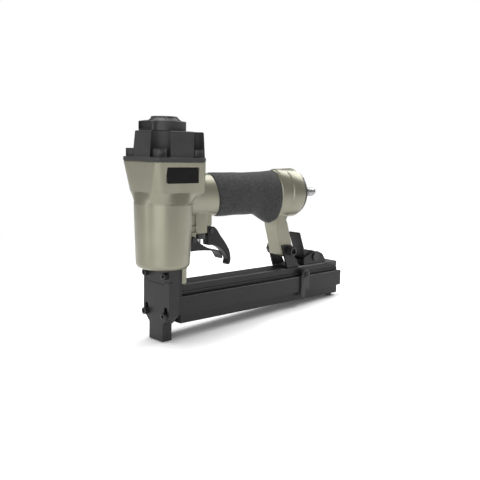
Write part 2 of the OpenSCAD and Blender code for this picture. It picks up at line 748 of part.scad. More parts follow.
module trigger() {
    tip = pin_y + 40.2;
    color(black) difference() {
        intersection() {
            union() {
                difference() {
                    across(trigger_half) trigger_outline(false);
                    across(trigger_half - trigger_t) translate([pin_y - 20, pin_z - 20]) square([80, 40]);
                }
                across(trigger_half - trigger_t + 0.1) trigger_outline(true);
                // pad under the valve stem
                translate([-3, valve_y - 2.2, pin_z - 11]) cube([6, 4.4, stem_tip_z - pass - pin_z + 11]);
            }
            // the spoon's tip is round in plan
            translate([0, 0, pin_z - 30]) linear_extrude(60) {
                translate([-trigger_half, pin_y - 10]) square([2 * trigger_half, tip - trigger_half - pin_y + 10]);
                translate([0, tip - trigger_half]) circle(trigger_half);
            }
        }
        bar_x(pin_y, pin_z, pin_r + run, -20, 20);
    }
}

module lever_pin(y, z, half) {
    color(dark) {
        bar_x(y, z, pin_r, -half - 0.1, half + 0.1);
        for (s = [-1, 1]) bar_x(y, z, pin_head_r, s > 0 ? half + run : -half - pin_head_t, s > 0 ? half + pin_head_t : -half - run);
    }
}

module trigger_pin() {
    lever_pin(pin_y, pin_z, trigger_half);
}

module safety_lever() {
    y = lever_y;
    z = lever_z;
    color(black) difference() {
        across(lever_half) polygon([[y - 4.2, z + 4.4], [y + 1.5, z + 4.1], [y + 4.7, z + 3], [y + 8.3, z - 0.1],
            [y + 12.7, z - 5.9], [y + 18.7, z - 12.4], [y + 21.6, z - 16.2], [y + 26.1, z - 23.2],
            [y + 27.8, z - 29.2], [y + 27.9, z - 33.6], [y + 26.6, z - 37], [y + 24.9, z - 37.9],
            [y + 25.9, z - 36.4], [y + 26.4, z - 34.4], [y + 25.7, z - 32.5], [y + 22.8, z - 28.1],
            [y + 18.1, z - 23.2], [y + 13.5, z - 19.8], [y + 8.2, z - 17.1], [y + 3, z - 15.5], [y - 4, z - 15.1]]);
        across(lever_half - 1.3) {
            translate([y, z]) circle(4.7);
            translate([y - 10, z - 3]) square([14.7, 20]);
            translate([y - 10, z - 4.5]) square([9, 10]);
        }
        bar_x(y, z, pin_r + run, -20, 20);
    }
}

module safety_lever_pin() {
    lever_pin(lever_y, lever_z, lever_half);
}

// Nose outline in the XZ plane up to height z1
module nose_outline(z1) {
    polygon([[-tip_half, 0], [tip_half, 0], [tip_half, tip_h], [nose_half, wide_z], [nose_half, z1],
        [-nose_half, z1], [-nose_half, wide_z], [-tip_half, tip_h]]);
}

// Front plate outline, or the same with a gap round its top edge
module plate_outline(gap) {
    high = plate_top + gap;
    low = plate_top - plate_dip + gap;
    difference() {
        nose_outline(high);
        polygon([[-nose_half + 5.5, high + over], [-nose_half + 5.5, high], [-nose_half + 8, low],
            [nose_half - 8, low], [nose_half - 5.5, high], [nose_half - 5.5, high + over]]);
    }
}

module nose_screw_holes(r, y0, y1) {
    for (sx = [-1, 1], z = [lower_screw_z, upper_screw_z]) bar_y(sx * nose_screw_at, z, r, y0, y1);
}

module nose_block() {
    color(dark) difference() {
        union() {
            along(part_y, tip_back) nose_outline(rim_z);
            along(part_y, block_back) difference() {
                nose_outline(rim_z);
                translate([-nose_half, -over]) square([2 * nose_half, tip_h + over]);
            }
            along(front_y, part_y + 0.1) difference() {
                nose_outline(rim_z);
                plate_outline(0.2);
                translate([-nose_half, -over]) square([2 * nose_half, tip_h + 12]);
            }
            translate([-tang_half, part_y - 2, rim_z - 0.1])
                cube([2 * tang_half, block_back - 1 - part_y + 2, floor_h - 0.2]);
        }
        // groove of the driver blade
        blade_slot(blade_w / 2 + groove_clear, -over, floor_z + over, groove_clear);
        // window through which the magazine feeds the groove
        translate([-slot_half, part_y + groove_t / 2, mag_z])
            cube([2 * slot_half, block_back - part_y + over, slot_top - mag_z]);
        nose_screw_holes(nose_shank_r + run, front_y - over, block_back + over);
    }
}

module front_plate() {
    slot_r = nose_shank_r + 0.4;
    color(dark) difference() {
        along(front_y, part_y) plate_outline(0);
        for (sx = [-1, 1]) along(front_y - over, part_y + over) translate([sx * nose_screw_at, lower_screw_z]) {
            circle(slot_r);
            translate([0, slot_rise]) circle(slot_r);
            translate([-slot_r, 0]) square([2 * slot_r, slot_rise]);
        }
    }
}

module nose_screws() {
    color(dark) for (sx = [-1, 1], upper = [0, 1])
        translate([sx * nose_screw_at, front_y, upper ? upper_screw_z : lower_screw_z]) rotate([90, 0, 0])
            cap_screw(nose_shank_r, (upper ? flange_back : block_back) - front_y - 0.5, nose_head_r, nose_head_h);
}

module magazine_body() {
    chamfer = 1.6;
    groove_z = 47.1;
    color(dark) difference() {
        union() {
            along(block_back, mag_end) polygon([[-mag_half, mag_z], [mag_half, mag_z], [mag_half, groove_z - 0.8],
                [mag_half - 0.7, groove_z], [mag_half, groove_z + 0.8], [mag_half, mag_top - chamfer],
                [mag_half - chamfer, mag_top], [chamfer - mag_half, mag_top], [-mag_half, mag_top - chamfer],
                [-mag_half, groove_z + 0.8], [0.7 - mag_half, groove_z], [-mag_half, groove_z - 0.8]]);
            // flange bolted behind the nose block
            translate([-nose_half + 2.3, block_back, band_z + band_h + 0.8])
                cube([2 * nose_half - 4.6, flange_back - block_back, rim_z - 0.1 - band_z - band_h - 0.8]);
        }
        // slot for the fasteners, open below
        translate([-slot_half, block_back - over, mag_z - over])
            cube([2 * slot_half, mag_end - block_back + 2 * over, slot_top - mag_z + over]);
        nose_screw_holes(nose_shank_r + run, block_back - over, flange_back + over);
        // seat of the end wedge
        across(mag_half + over) wedge_outline(0);
        // the latch's hook drops through the roof
        translate([-3.5, latch_y + 3, slot_top - over]) cube([7, 9, mag_top - slot_top + 2 * over]);
        for (sx = [-1, 1]) {
            bar_x(clip_screw_y, clip_screw_z, 1.5 + run, sx > 0 ? slot_half - over : -mag_half - over,
                sx > 0 ? mag_half + over : over - slot_half);
            translate([sx * 9.1, (lug_front + lug_back) / 2, mag_z - over]) {
                cylinder(mag_top - mag_z + 2 * over, r = 1.5 + run);
                cylinder(4 + over, r = 2.7);
            }
        }
    }
}

module wedge_outline(gap) {
    polygon([[mag_end - 25.3 + 3 * gap, mag_top + (gap > 0 ? 0 : over)], [mag_end - 25.3 + 3 * gap, mag_top],
        [mag_end - 3.9, mag_top - 6.7 + gap], [mag_end + (gap > 0 ? 0 : over), mag_top - 6.7 + gap],
        [mag_end + (gap > 0 ? 0 : over), mag_top + (gap > 0 ? 0 : over)]]);
}

module end_wedge() {
    color(black) across(mag_half - seat) wedge_outline(seat);
}

module lug_screws() {
    color(steel) for (sx = [-1, 1]) translate([sx * 9.1, (lug_front + lug_back) / 2, mag_z + 4])
        rotate([180, 0, 0]) cap_screw(1.5, mag_top - mag_z + 6, 2.6, 2.6);
}

module magazine_cover() {
    edge = 0.8;
    lift = mag_z - band_z - pass;
    color(dark) difference() {
        union() {
            along(band_front, cover_end) {
                translate([-band_out, band_z]) square([2 * band_out, lift]);
                for (s = [-1, 1]) translate([s > 0 ? band_in : -band_out, 0]) polygon([[s > 0 ? 0 : edge, band_z],
                    [s > 0 ? band_t - edge : band_t, band_z], [band_t, band_z + (s > 0 ? edge : 0)],
                    [band_t, band_z + band_h - (s > 0 ? edge : 0)], [s > 0 ? band_t - edge : band_t, band_z + band_h],
                    [s > 0 ? 0 : edge, band_z + band_h], [0, band_z + band_h - (s > 0 ? 0 : edge)],
                    [0, band_z + (s > 0 ? 0 : edge)]]);
            }
            along(cover_front, mag_end + 0.7) translate([-cover_half, cover_z])
                square([2 * cover_half, band_z - cover_z + 0.1]);
            // end plate behind the fixed channel
            along(mag_end + pass, cover_end) translate([-band_out + edge, band_z])
                square([2 * (band_out - edge), band_h - edge]);
        }
        // channel for the track and the fasteners' legs
        translate([-slot_half - 2, band_front - over, cover_z + cover_floor])
            cube([2 * slot_half + 4, mag_end + pass - band_front + over, band_z - cover_z + 4]);
        bar_y(0, rod_z, rod_r + run, mag_end, cover_end - 0.6);
        for (s = [-1, 1]) translate([s * foot_at, foot_y, cover_z - over]) cylinder(12, r = 1.5 + run);
    }
}

module magazine_track() {
    base_z = cover_z + cover_floor;
    in = track_half - track_wall;
    color(steel) difference() {
        union() {
            translate([-track_half, cover_front, base_z])
                cube([2 * track_half, mag_end + pass - cover_front - seat, track_top - base_z]);
            translate([-track_half, band_front, band_z + 2.2])
                cube([2 * track_half, cover_front - band_front + over, track_top - band_z - 2.2]);
            // foot that the two screws hold
            translate([-slot_half - 1.8, foot_y - 6, base_z]) cube([2 * slot_half + 3.6, 12, 1.6]);
        }
        translate([-in, cover_front, base_z - over])
            cube([2 * in, mag_end + pass - cover_front - 3, track_top - base_z - 1.6 + over]);
        // slit for the pusher's web
        translate([-1.3, cover_front, base_z]) cube([2.6, mag_end - cover_front - 7, track_top]);
        bar_y(0, rod_z, rod_r + run, band_front - over, mag_end + 5);
        for (s = [-1, 1]) translate([s * foot_at, foot_y, base_z - over]) cylinder(12, r = 1.5 + run);
    }
}

module foot_screws() {
    color(dark) for (s = [-1, 1]) translate([s * foot_at, foot_y, cover_z]) rotate([180, 0, 0])
        cap_screw(1.5, cover_floor + 2.4, foot_r, foot_h);
}

// Saddle over the track, with a web down to the slide on the rod
module pusher() {
    slide_r = track_half - track_wall - pass;
    color(steel) difference() {
        union() {
            difference() {
                translate([-slot_half + pass, pusher_y, mag_z + 4])
                    cube([2 * (slot_half - pass), pusher_l, slot_top - pass - mag_z - 4]);
                translate([-track_half - 0.2, pusher_y - over, mag_z])
                    cube([2 * (track_half + 0.2), pusher_l + 2 * over, track_top + 0.2 - mag_z]);
            }
            translate([-1, pusher_y + 2, rod_z]) cube([2, pusher_l - 4, track_top + 0.5 - rod_z]);
            bar_y(0, rod_z, slide_r, pusher_y + 2, pusher_y + pusher_l - 2);
        }
        bar_y(0, rod_z, rod_r + run, pusher_y - over, pusher_y + pusher_l + over);
    }
}

module pusher_rod() {
    color(steel) bar_y(0, rod_z, rod_r, band_front, cover_end - 0.7);
}

module pusher_spring() {
    y0 = pusher_y + pusher_l - 2 + 0.1;
    color(steel) difference() {
        bar_y(0, rod_z, 2.9, y0, mag_end - 3.2);
        bar_y(0, rod_z, 2, y0 - over, mag_end);
    }
}

module rear_bracket() {
    foot_t = 2.2;
    ear_in = leg_half + seat;
    color(black) difference() {
        union() {
            for (s = [-1, 1]) translate([s > 0 ? ear_in + ear_t / 2 : -ear_in - ear_t / 2, 0, 0]) across(ear_t / 2) {
                polygon([[bolt_y - 12.8, bolt_z + 7], [bolt_y - 3, mag_top], [bolt_y + 17.8, mag_top],
                    [bolt_y + 6.2, bolt_z - 3.3], [bolt_y, bolt_z + 7]]);
                translate([bolt_y, bolt_z]) circle(7);
            }
            translate([-ear_in - ear_t, bolt_y - 3, mag_top]) cube([2 * (ear_in + ear_t), 20.8, foot_t]);
        }
        bar_x(bolt_y, bolt_z, bolt_r + run, -30, 30);
    }
}

module bracket_bolt() {
    out = leg_half + seat + ear_t;
    color(dark) translate([out, bolt_y, bolt_z]) rotate([0, 90, 0])
        cap_screw(bolt_r, 2 * out + 6, bolt_head_r, 6.5);
}

module bracket_nut() {
    out = leg_half + seat + ear_t;
    color(dark) difference() {
        translate([-out - 5, bolt_y, bolt_z]) rotate([0, 90, 0]) cylinder(5, r = bolt_head_r + 0.8, $fn = 6);
        bar_x(bolt_y, bolt_z, bolt_r + run, -out - 6, -out + over);
    }
}

// Guide clip beside the cover: round eye at the screw, straight blade, foot under the band
module cover_clips() {
    x0 = band_out + 0.1;
    band_top = band_z + band_h;
    color(black) for (s = [0, 1]) mirror([s, 0, 0]) difference() {
        union() {
            translate([x0 + clip_t / 2, 0, 0]) across(clip_t / 2) {
                translate([clip_screw_y, clip_screw_z]) circle(6.5);
                translate([clip_y - clip_w / 2, band_z + 3]) square([clip_w - 1, band_h - 1]);
                translate([clip_y - clip_w / 2, band_z - 6.4]) square([6.9, 12]);
            }
            bar_x(clip_screw_y, clip_screw_z + 1.8, 3.2, mag_half, x0 + 0.1);
            translate([cover_half + pass, clip_y - clip_w / 2, band_z - 3.4])
                cube([x0 + 0.1 - cover_half - pass, 6.9, 3.4 - pass]);
        }
        bar_x(clip_screw_y, clip_screw_z, 1.5 + run, mag_half - over, x0 + clip_t + over);
        // the eye's back stays clear of the sliding band
        translate([mag_half - over, clip_y - clip_w, band_z]) cube([x0 - 0.1 - mag_half + over, 2 * clip_w, band_h + 0.2]);
    }
}

module clip_screws() {
    x0 = band_out + 0.1 + clip_t;
    color(dark) for (s = [0, 1]) mirror([s, 0, 0]) translate([x0, clip_screw_y, clip_screw_z]) rotate([0, 90, 0])
        cap_screw(1.5, x0 - slot_half - 1, 3.4, 1.6);
}

module latch_housing() {
    wall = 1.6;
    color(black) difference() {
        union() {
            for (s = [-1, 1]) translate([s * (latch_half - wall / 2), 0, 0]) across(wall / 2) {
                polygon([[latch_y - 19.9, mag_top], [latch_y - 20.7, mag_top + 8.4], [latch_y - 6.6, mag_top + 14],
                    [latch_y + 4, mag_top + 14.6], [latch_y + 13, mag_top + 11], [latch_y + 18.5, mag_top + 4],
                    [latch_y + 18.5, mag_top]]);
            }
            translate([-latch_half, latch_y - 19.9, mag_top]) cube([2 * latch_half, 38.4, 1.6]);
        }
        bar_x(latch_y, latch_z, latch_pin_r + run, -30, 30);
        translate([-3.5, latch_y + 3, mag_top - over]) cube([7, 9, 4]);
    }
}

module latch_lever() {
    y = latch_y;
    z = latch_z;
    inner = latch_half - 1.6 - pass;
    color(black) difference() {
        union() {
            // thumb plate and arm
            across(thumb_half) polygon([[y - 27.4, z + 30], [y - 25.4, z + 30.3], [y - 16.9, z + 10.6],
                [y - 13.4, z + 8.8], [y - 1, z + 7], [y + 2, z + 5], [y - 2, z - 3], [y - 6.9, z + 5.1],
                [y - 16.4, z + 6.4], [y - 19.6, z + 9.2]]);
            // barrel on the pin and the hook below it
            bar_x(y, z, 6.4, -min(inner, thumb_half), min(inner, thumb_half));
            across(2.8) polygon([[y + 1, z - 4], [y + 5.9, z - 2], [y + 8.6, z - 7], [y + 8.6, z - 15.6],
                [y + 5.4, z - 15.6], [y + 4.2, z - 8]]);
        }
        bar_x(y, z, latch_pin_r + run, -30, 30);
    }
}

module latch_pin() {
    color(dark) {
        bar_x(latch_y, latch_z, latch_pin_r, -latch_half - 0.1, latch_half + 0.1);
        for (s = [-1, 1]) bar_x(latch_y, latch_z, 5.3, s > 0 ? latch_half : -latch_half - 1.6,
            s > 0 ? latch_half + 1.6 : -latch_half);
    }
}

module latch_spring() {
    color(steel) translate([0, latch_y - 11, mag_top + 1.7]) spring(3.2, 0.5, 4, latch_z + 4.8 - mag_top - 1.7, 10);
}

body_housing();
name_plate();
head_cap();
head_cap_screws();
head_seal();
exhaust_deflector();
deflector_screw();
cylinder_sleeve();
piston();
piston_ring();
driver_blade();
bumper();
head_valve();
head_valve_spring();
grip_sleeve();
end_cap();
end_cap_screws();
end_cap_seal();
air_plug();
valve_body();
valve_stem();
valve_spring();
trigger();
trigger_pin();
safety_lever();
safety_lever_pin();
nose_block();
front_plate();
nose_screws();
magazine_body();
magazine_cover();
magazine_track();
foot_screws();
pusher();
pusher_rod();
pusher_spring();
end_wedge();
lug_screws();
rear_bracket();
bracket_bolt();
bracket_nut();
cover_clips();
clip_screws();
latch_housing();
latch_lever();
latch_pin();
latch_spring();
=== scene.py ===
"""Looks of a pneumatic nailer with a box magazine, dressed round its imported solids."""
import json
import math

import bmesh
import bpy
import numpy as np
from bpy.props import FloatProperty, FloatVectorProperty, IntProperty, PointerProperty
from mathutils import Matrix, Vector

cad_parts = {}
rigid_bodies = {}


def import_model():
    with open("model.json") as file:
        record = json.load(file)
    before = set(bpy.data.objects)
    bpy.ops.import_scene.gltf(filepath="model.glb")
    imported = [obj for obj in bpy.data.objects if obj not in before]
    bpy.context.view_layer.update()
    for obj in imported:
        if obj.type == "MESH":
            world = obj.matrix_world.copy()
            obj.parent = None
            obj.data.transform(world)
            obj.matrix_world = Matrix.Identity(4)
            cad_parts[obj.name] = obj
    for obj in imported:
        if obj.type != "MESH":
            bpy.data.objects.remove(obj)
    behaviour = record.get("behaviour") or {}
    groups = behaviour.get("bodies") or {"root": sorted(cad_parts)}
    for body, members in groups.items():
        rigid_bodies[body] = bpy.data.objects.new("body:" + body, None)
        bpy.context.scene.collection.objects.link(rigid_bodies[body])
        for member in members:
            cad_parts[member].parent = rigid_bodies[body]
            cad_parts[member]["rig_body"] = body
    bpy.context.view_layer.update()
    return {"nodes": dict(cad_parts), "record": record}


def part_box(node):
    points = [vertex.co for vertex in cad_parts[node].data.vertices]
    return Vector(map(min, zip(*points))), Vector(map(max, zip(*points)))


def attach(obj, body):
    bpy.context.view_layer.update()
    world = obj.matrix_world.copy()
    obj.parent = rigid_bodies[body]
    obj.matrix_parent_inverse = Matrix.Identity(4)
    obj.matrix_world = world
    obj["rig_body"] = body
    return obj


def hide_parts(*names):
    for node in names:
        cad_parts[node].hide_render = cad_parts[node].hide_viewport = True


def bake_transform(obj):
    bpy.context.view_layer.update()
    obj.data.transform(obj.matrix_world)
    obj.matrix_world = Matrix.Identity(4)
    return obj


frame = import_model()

bl_info = {
    "name": "Pneumatic nailer looks",
    "version": (1, 0, 0),
    "blender": (4, 5, 0),
    "location": "View3D > Sidebar > Nailer",
    "description": "Dresses the solids of a pneumatic nailer with fine surfaces and finishes",
    "category": "Object",
}

MM = 0.001

# Places of the real tool in millimetres, in the frame of the solids
RIM_Z = 72.0
SHOULDER_Z = 135.6
SQUARE_Z = 146.0
TOP_Z = 175.6
FLANGE_Z = 179.5
CAP_TOP = 204.1
DEFLECTOR_Z = 204.2
DISC_TOP = 213.4
CONE_R = 17.8
CONE_H = 4.6
HEAD_H = TOP_Z - SQUARE_Z
HEAD_HALF = 29.0
HEAD_DRAW = 2.9
ENGINE_R = 23.5
SCREW_X = 22.0
SCREW_FRONT = -21.0
SCREW_BACK = 22.6
COLUMN_Z = 103.3
HANDLE_Z = 141.6
GRIP_TALL = 22.8
FOAM_LEAN = math.radians(11.8)
BELL_Z = 140.8
BELL_CREASE = 164.3
BELL_END = 180.0
PLUG_Y = 191.8
PLUG_TIP = 222.8
CHANNEL_TOP = 55.2
FOOT_Y = 250.0
FOOT_Z = 12.0
TIP_BACK_Y = 3.2
# Axes across the tool, as y and z: trigger, safety lever, latch and bracket bolt
PIN = (33.8, 96.9)
SWING = (59.0, 104.9)
LATCH = (219.9, 63.5)
BOLT = (171.3, 74.8)
PIN_R = 2.05
LATCH_R = 2.55
BOLT_R = 3.05
STEM_Z = 91.1
# Outlines of the leg and of the safety lever's lug, as y and z
LEG = (
    (149.4, 112.0), (151.0, 104.0), (160.5, 72.8), (161.3, 70.6), (163.5, 69.8), (168.3, 67.4),
    (172.0, 66.9), (175.6, 68.1), (178.4, 71.0), (179.4, 74.8), (178.8, 77.6), (169.0, 106.4),
    (166.8, 110.6), (170.0, 116.0), (160.0, 124.0))
SWING_LUG = ((50.0, 103.9), (56.0, 101.6), (60.5, 108.8), (55.8, 111.9), (50.0, 111.9))
# Outlines about the lever's own axis, as y and z: the trigger's top, its spoon and the safety lever's horn
TRIGGER_TOP = (
    (-5.1, -3.5), (-5.0, 2.6), (-3.4, 3.7), (0.8, 3.2), (4.6, 0.9), (5.9, -2.2), (11.4, -5.9), (18.3, -9.0))
SPOON = (
    (23.8, -10.7), (30.8, -12.2), (35, -13.5), (37.8, -15.8), (39.8, -18.9), (40.5, -22.2), (39.2, -22.4),
    (37.2, -18.7), (34.0, -15.3), (29.3, -13.4), (18.5, -12.2), (5.7, -11.3), (-4.2, -11.3), (-5.1, -10.6))
HORN = (
    (-4.6, 2.4), (-3.9, 4.3), (1.5, 4.1), (4.7, 3.0), (8.3, -0.1), (12.7, -5.9), (18.7, -12.6),
    (23.2, -18.4), (26.1, -23.4), (27.7, -29.2), (27.9, -33.6), (26.8, -37.2), (24.6, -38.3),
    (23.3, -36.6), (24.2, -32.4), (22.3, -28.1), (18.1, -23.4), (13.5, -19.8), (8.2, -17.1),
    (3, -15.6), (-3.4, -15.1), (-4.6, -13.4), (-4.6, -6))


def length(name, description, default, low, high):
    """A property for a length in metres."""
    return FloatProperty(name=name, description=description, default=default, min=low, max=high,
                         unit="LENGTH")


def colour(name, description, *default):
    """A property for a base colour."""
    return FloatVectorProperty(name=name, description=description, size=3, subtype="COLOR", default=default,
                               min=0, max=1)


def power(name, description, default):
    """A property for the power of a lamp in watts."""
    return FloatProperty(name=name, description=f"Power of the {description}, in watts", default=default,
                         min=0, max=100)


def place(name, description, *default):
    """A property for a place in metres."""
    return FloatVectorProperty(name=name, description=description, size=3, subtype="TRANSLATION",
                               default=default)


class NailerSizes(bpy.types.PropertyGroup):
    """Small sizes of the fine surfaces."""

    edge_fine: length("Fine edge", "Rounding of edges on levers, plates and clips", 0.0003, 0.00005, 0.001)
    edge_wedge: length("Wedge edge", "Rounding of edges on the end wedge", 0.0012, 0.0001, 0.002)
    foam_wall: length("Foam wall", "Thickness of the foam sleeve", 0.003, 0.001, 0.005)
    foam_sag: length("Foam unevenness", "How far the foam's surface wanders", 0.00012, 0.0, 0.001)
    knurl_depth: length("Knurl depth", "Depth of the grooves round the screw heads", 0.00018, 0.0, 0.0006)
    knurls: IntProperty(name="Knurls", description="Grooves round a screw head", default=36, min=12, max=60)


class NailerColours(bpy.types.PropertyGroup):
    """Base colours of the finishes."""

    casting: colour("Casting", "Champagne paint of the casting", 0.254, 0.246, 0.184)
    cap: colour("Head cap", "Coating of the head cap", 0.037, 0.037, 0.0374)
    moulded: colour("Moulded black", "Exhaust deflector and end wedge", 0.037, 0.037, 0.0374)
    magazine: colour("Magazine", "Black anodised magazine", 0.0155, 0.0155, 0.0158)
    nose: colour("Nose", "Black oxide on the nose", 0.018, 0.018, 0.0183)
    lever: colour("Levers", "Satin black of levers and brackets", 0.0065, 0.0065, 0.0066)
    screw: colour("Screws", "Black oxide on the screws", 0.025, 0.025, 0.0253)
    foam: colour("Foam", "Grained foam of the grip", 0.044, 0.044, 0.045)
    plate: colour("Name plate", "Bare black name plate", 0.006, 0.006, 0.0062)
    steel: colour("Bright steel", "Turned and drawn steel", 0.36, 0.36, 0.365)
    rubber: colour("Rubber", "Seals and bumper", 0.02, 0.02, 0.021)


class NailerStage(bpy.types.PropertyGroup):
    """Camera and lamps."""

    camera_place: place("Camera", "Place of the camera", 0.51926, -0.39133, 0.18847)
    camera_aim: place("Aim", "Point at the middle of the picture", -0.00611, 0.10964, 0.08993)
    camera_roll: FloatProperty(name="Roll", description="Lean of the camera about its line of sight",
                               default=math.radians(-1.418), subtype="ANGLE")
    lens: FloatProperty(name="Lens", description="Focal length in millimetres on a 36 mm sensor",
                        default=50.0, min=20, max=120)
    ambient: FloatProperty(name="Ambient", description="Strength of the plain light from all round",
                           default=0.22, min=0, max=1)
    key: power("Key lamp", "large soft lamp beside the camera", 4.4)
    top: power("Top lamp", "soft lamp above", 13.0)
    strip: power("Strip lamp", "narrow lamp in front on the left", 2.5)
    back: power("Back lamp", "soft lamp behind and above", 7.0)


class Value:
    """A shader socket with arithmetic: an expression on values adds the Math nodes that work it out."""

    def __init__(self, tree, socket):
        self.tree = tree
        self.socket = socket

    def _math(self, operation, other=None, flip=False):
        node = self.tree.nodes.new("ShaderNodeMath")
        node.operation = operation
        items = (other, self) if flip else (self, other)
        for slot, item in zip(node.inputs, items):
            if isinstance(item, Value):
                self.tree.links.new(item.socket, slot)
            elif item is not None:
                slot.default_value = item
        return Value(self.tree, node.outputs[0])

    def __add__(self, other):
        return self._math("ADD", other)

    __radd__ = __add__

    def __sub__(self, other):
        return self._math("SUBTRACT", other)

    def __rsub__(self, other):
        return self._math("SUBTRACT", other, flip=True)

    def __mul__(self, other):
        return self._math("MULTIPLY", other)

    __rmul__ = __mul__


class Nodes:
    """The nodes of a material or a world."""

    def __init__(self, owner):
        owner.use_nodes = True
        self.tree = owner.node_tree
        self.tree.nodes.clear()

    def add(self, kind, settings=None, sockets=None, output=0):
        """Adds a node of a type, first its settings and then the values or links of its sockets."""
        node = self.tree.nodes.new(kind)
        for key, setting in (settings or {}).items():
            setattr(node, key, setting)
        for key, given in (sockets or {}).items():
            if isinstance(given, Value):
                self.tree.links.new(given.socket, node.inputs[key])
            else:
                node.inputs[key].default_value = given
        return Value(self.tree, node.outputs[output])


class Finish(Nodes):
    """A material and the nodes that make it, on Object coordinates in metres."""

    def __init__(self, name):
        self.material = bpy.data.materials.new(name)
        super().__init__(self.material)
        self.place = self.add("ShaderNodeTexCoord", output="Object")

    def stretched(self, x, y, z):
        """Object coordinates with each direction drawn out or in."""
        return self.add("ShaderNodeMapping", None, {"Vector": self.place, "Scale": (x, y, z)})

    def noise(self, size, detail=2.0, roughness=0.5, vector=None):
        """Soft noise from 0 to 1 whose features are about size metres across."""
        return self.add("ShaderNodeTexNoise", None, {
            "Vector": vector or self.place, "Scale": 1.0 / size, "Detail": detail, "Roughness": roughness})

    def cells(self, size):
        """Distance to the nearest of scattered points, about size metres apart."""
        return self.add("ShaderNodeTexVoronoi", None, {"Vector": self.place, "Scale": 1.0 / size})

    def ramp(self, value, low, high):
        """A value carried smoothly from its range low to high onto 0 to 1, and held at the ends."""
        return self.add("ShaderNodeMapRange", {"interpolation_type": "SMOOTHSTEP"}, {
            "Value": value, "From Min": low, "From Max": high})

    def blended(self, mask, first, second):
        """Colour first where the mask is 0 and second where it is 1."""
        return self.add("ShaderNodeMix", {"data_type": "RGBA"}, {0: mask, 6: first, 7: second}, output=2)

    def tones(self, value, low, high, base, dark, light):
        """The base colour times dark where the value is low, and times light where it is high."""
        return self.blended(self.ramp(value, low, high), shade(base, dark), shade(base, light))

    def bump(self, height, depth, strength):
        """Normal of a surface raised by height times depth metres."""
        return self.add("ShaderNodeBump", None, {"Height": height, "Distance": depth, "Strength": strength},
                        output="Normal")

    def surface(self, tone, roughness, normal, **fixed):
        """The finished surface: linked colour, roughness and normal, and plain numbers for the rest."""
        sockets = {"Base Color": tone, "Roughness": roughness, "Normal": normal}
        for key, given in fixed.items():
            sockets[key.replace("_", " ").title().replace("Ior", "IOR")] = given
        return self.closed(self.add("ShaderNodeBsdfPrincipled", None, sockets))

    def closed(self, shader):
        """The material with the shader as its surface."""
        out = self.tree.nodes.new("ShaderNodeOutputMaterial")
        self.tree.links.new(shader.socket, out.inputs["Surface"])
        return self.material


def shade(base, factor):
    """The base colour made lighter or darker, with full alpha."""
    return tuple(min(1.0, c * factor) for c in base) + (1.0,)


def satin_paint(name, base):
    """Satin metal paint: cloudy colour, fine bright flakes, slight orange peel."""
    f = Finish(name)
    cloud = f.tones(f.noise(0.03, 3.0), 0.3, 0.7, base, 0.95, 1.05)
    sparkle = f.ramp(f.cells(0.00045), 0.16, 0.05)
    tint = f.blended(sparkle * 0.22, cloud, shade(base, 1.75))
    rough = 0.31 + f.noise(0.006, 3.0) * 0.10 - sparkle * 0.04
    peel = f.bump(f.noise(0.0016, 2.0), 0.00004, 0.35)
    return f.surface(tint, rough, peel, metallic=0.55, coat_weight=0.3, coat_roughness=0.28)


def coated_metal(name, base, grain=0.0006, depth=0.00004, rough=0.54):
    """Matt black coating over cast metal: sand-fine grain, faint clouds and slightly rubbed patches."""
    f = Finish(name)
    cloud = f.noise(0.018, 4.0)
    fine = f.noise(grain, 2.0)
    tone = f.tones(cloud, 0.32, 0.68, base, 0.90, 1.12)
    tone = f.blended(f.ramp(fine, 0.55, 0.75) * 0.35, tone, shade(base, 1.5))
    roughness = rough + (cloud - 0.5) * 0.14 + (fine - 0.5) * 0.08
    return f.surface(tone, roughness, f.bump(fine, depth, 0.5), specular_ior_level=0.36)


def drawn_metal(name, base, rough=0.4):
    """Black anodised extrusion: fine lines along Y from the die, clouded sheen."""
    f = Finish(name)
    lines = f.noise(0.0009, 2.0, vector=f.stretched(1.0, 0.02, 1.0))
    cloud = f.noise(0.025, 3.0)
    tone = f.tones(lines, 0.35, 0.65, base, 0.88, 1.14)
    tone = f.blended(f.ramp(cloud, 0.45, 0.75) * 0.5, tone, shade(base, 1.12))
    roughness = rough + (lines - 0.5) * 0.16 + (cloud - 0.5) * 0.10
    return f.surface(tone, roughness, f.bump(lines, 0.00003, 0.3), metallic=0.1, specular_ior_level=0.3)


def oxide_steel(name, base, rough=0.42):
    """Black oxide on steel: mottled, with ground marks up the piece and scattered small pits."""
    f = Finish(name)
    mottle = f.noise(0.005, 5.0, 0.6)
    marks = f.noise(0.0008, 2.0, vector=f.stretched(1.0, 1.0, 0.05))
    pits = f.ramp(f.cells(0.0028), 0.10, 0.02)
    tone = f.tones(mottle, 0.3, 0.7, base, 0.84, 1.18)
    tone = f.blended(pits * 0.5, tone, shade(base, 0.55))
    roughness = rough + (mottle - 0.5) * 0.16 + (marks - 0.5) * 0.08
    normal = f.bump(marks - pits * 0.8, 0.00004, 0.35)
    return f.surface(tone, roughness, normal, metallic=0.25, specular_ior_level=0.45)


def foam_skin(name, base):
    """Fine closed-cell foam: painted shade in the pores and painted light on the grains, the colour
    following the bump's height; dull all over with a soft sheen.
    """
    f = Finish(name)
    height = f.ramp(f.cells(0.0011), 0.75, 0.1) * 0.7 + f.noise(0.0005, 3.0, 0.6) * 0.3
    # Painted shade and light: the colour is darker where the bump is low, in the pores, and lighter on the
    # raised grains.
    tone = f.tones(height, 0.25, 0.75, base, 0.52, 1.5)
    tone = f.blended(f.ramp(f.noise(0.02, 3.0), 0.35, 0.65) * 0.35, tone, shade(base, 0.92))
    return f.surface(tone, 0.90 - height * 0.10, f.bump(height, 0.00022, 0.55), sheen_weight=0.12,
                     sheen_roughness=0.5, specular_ior_level=0.3)


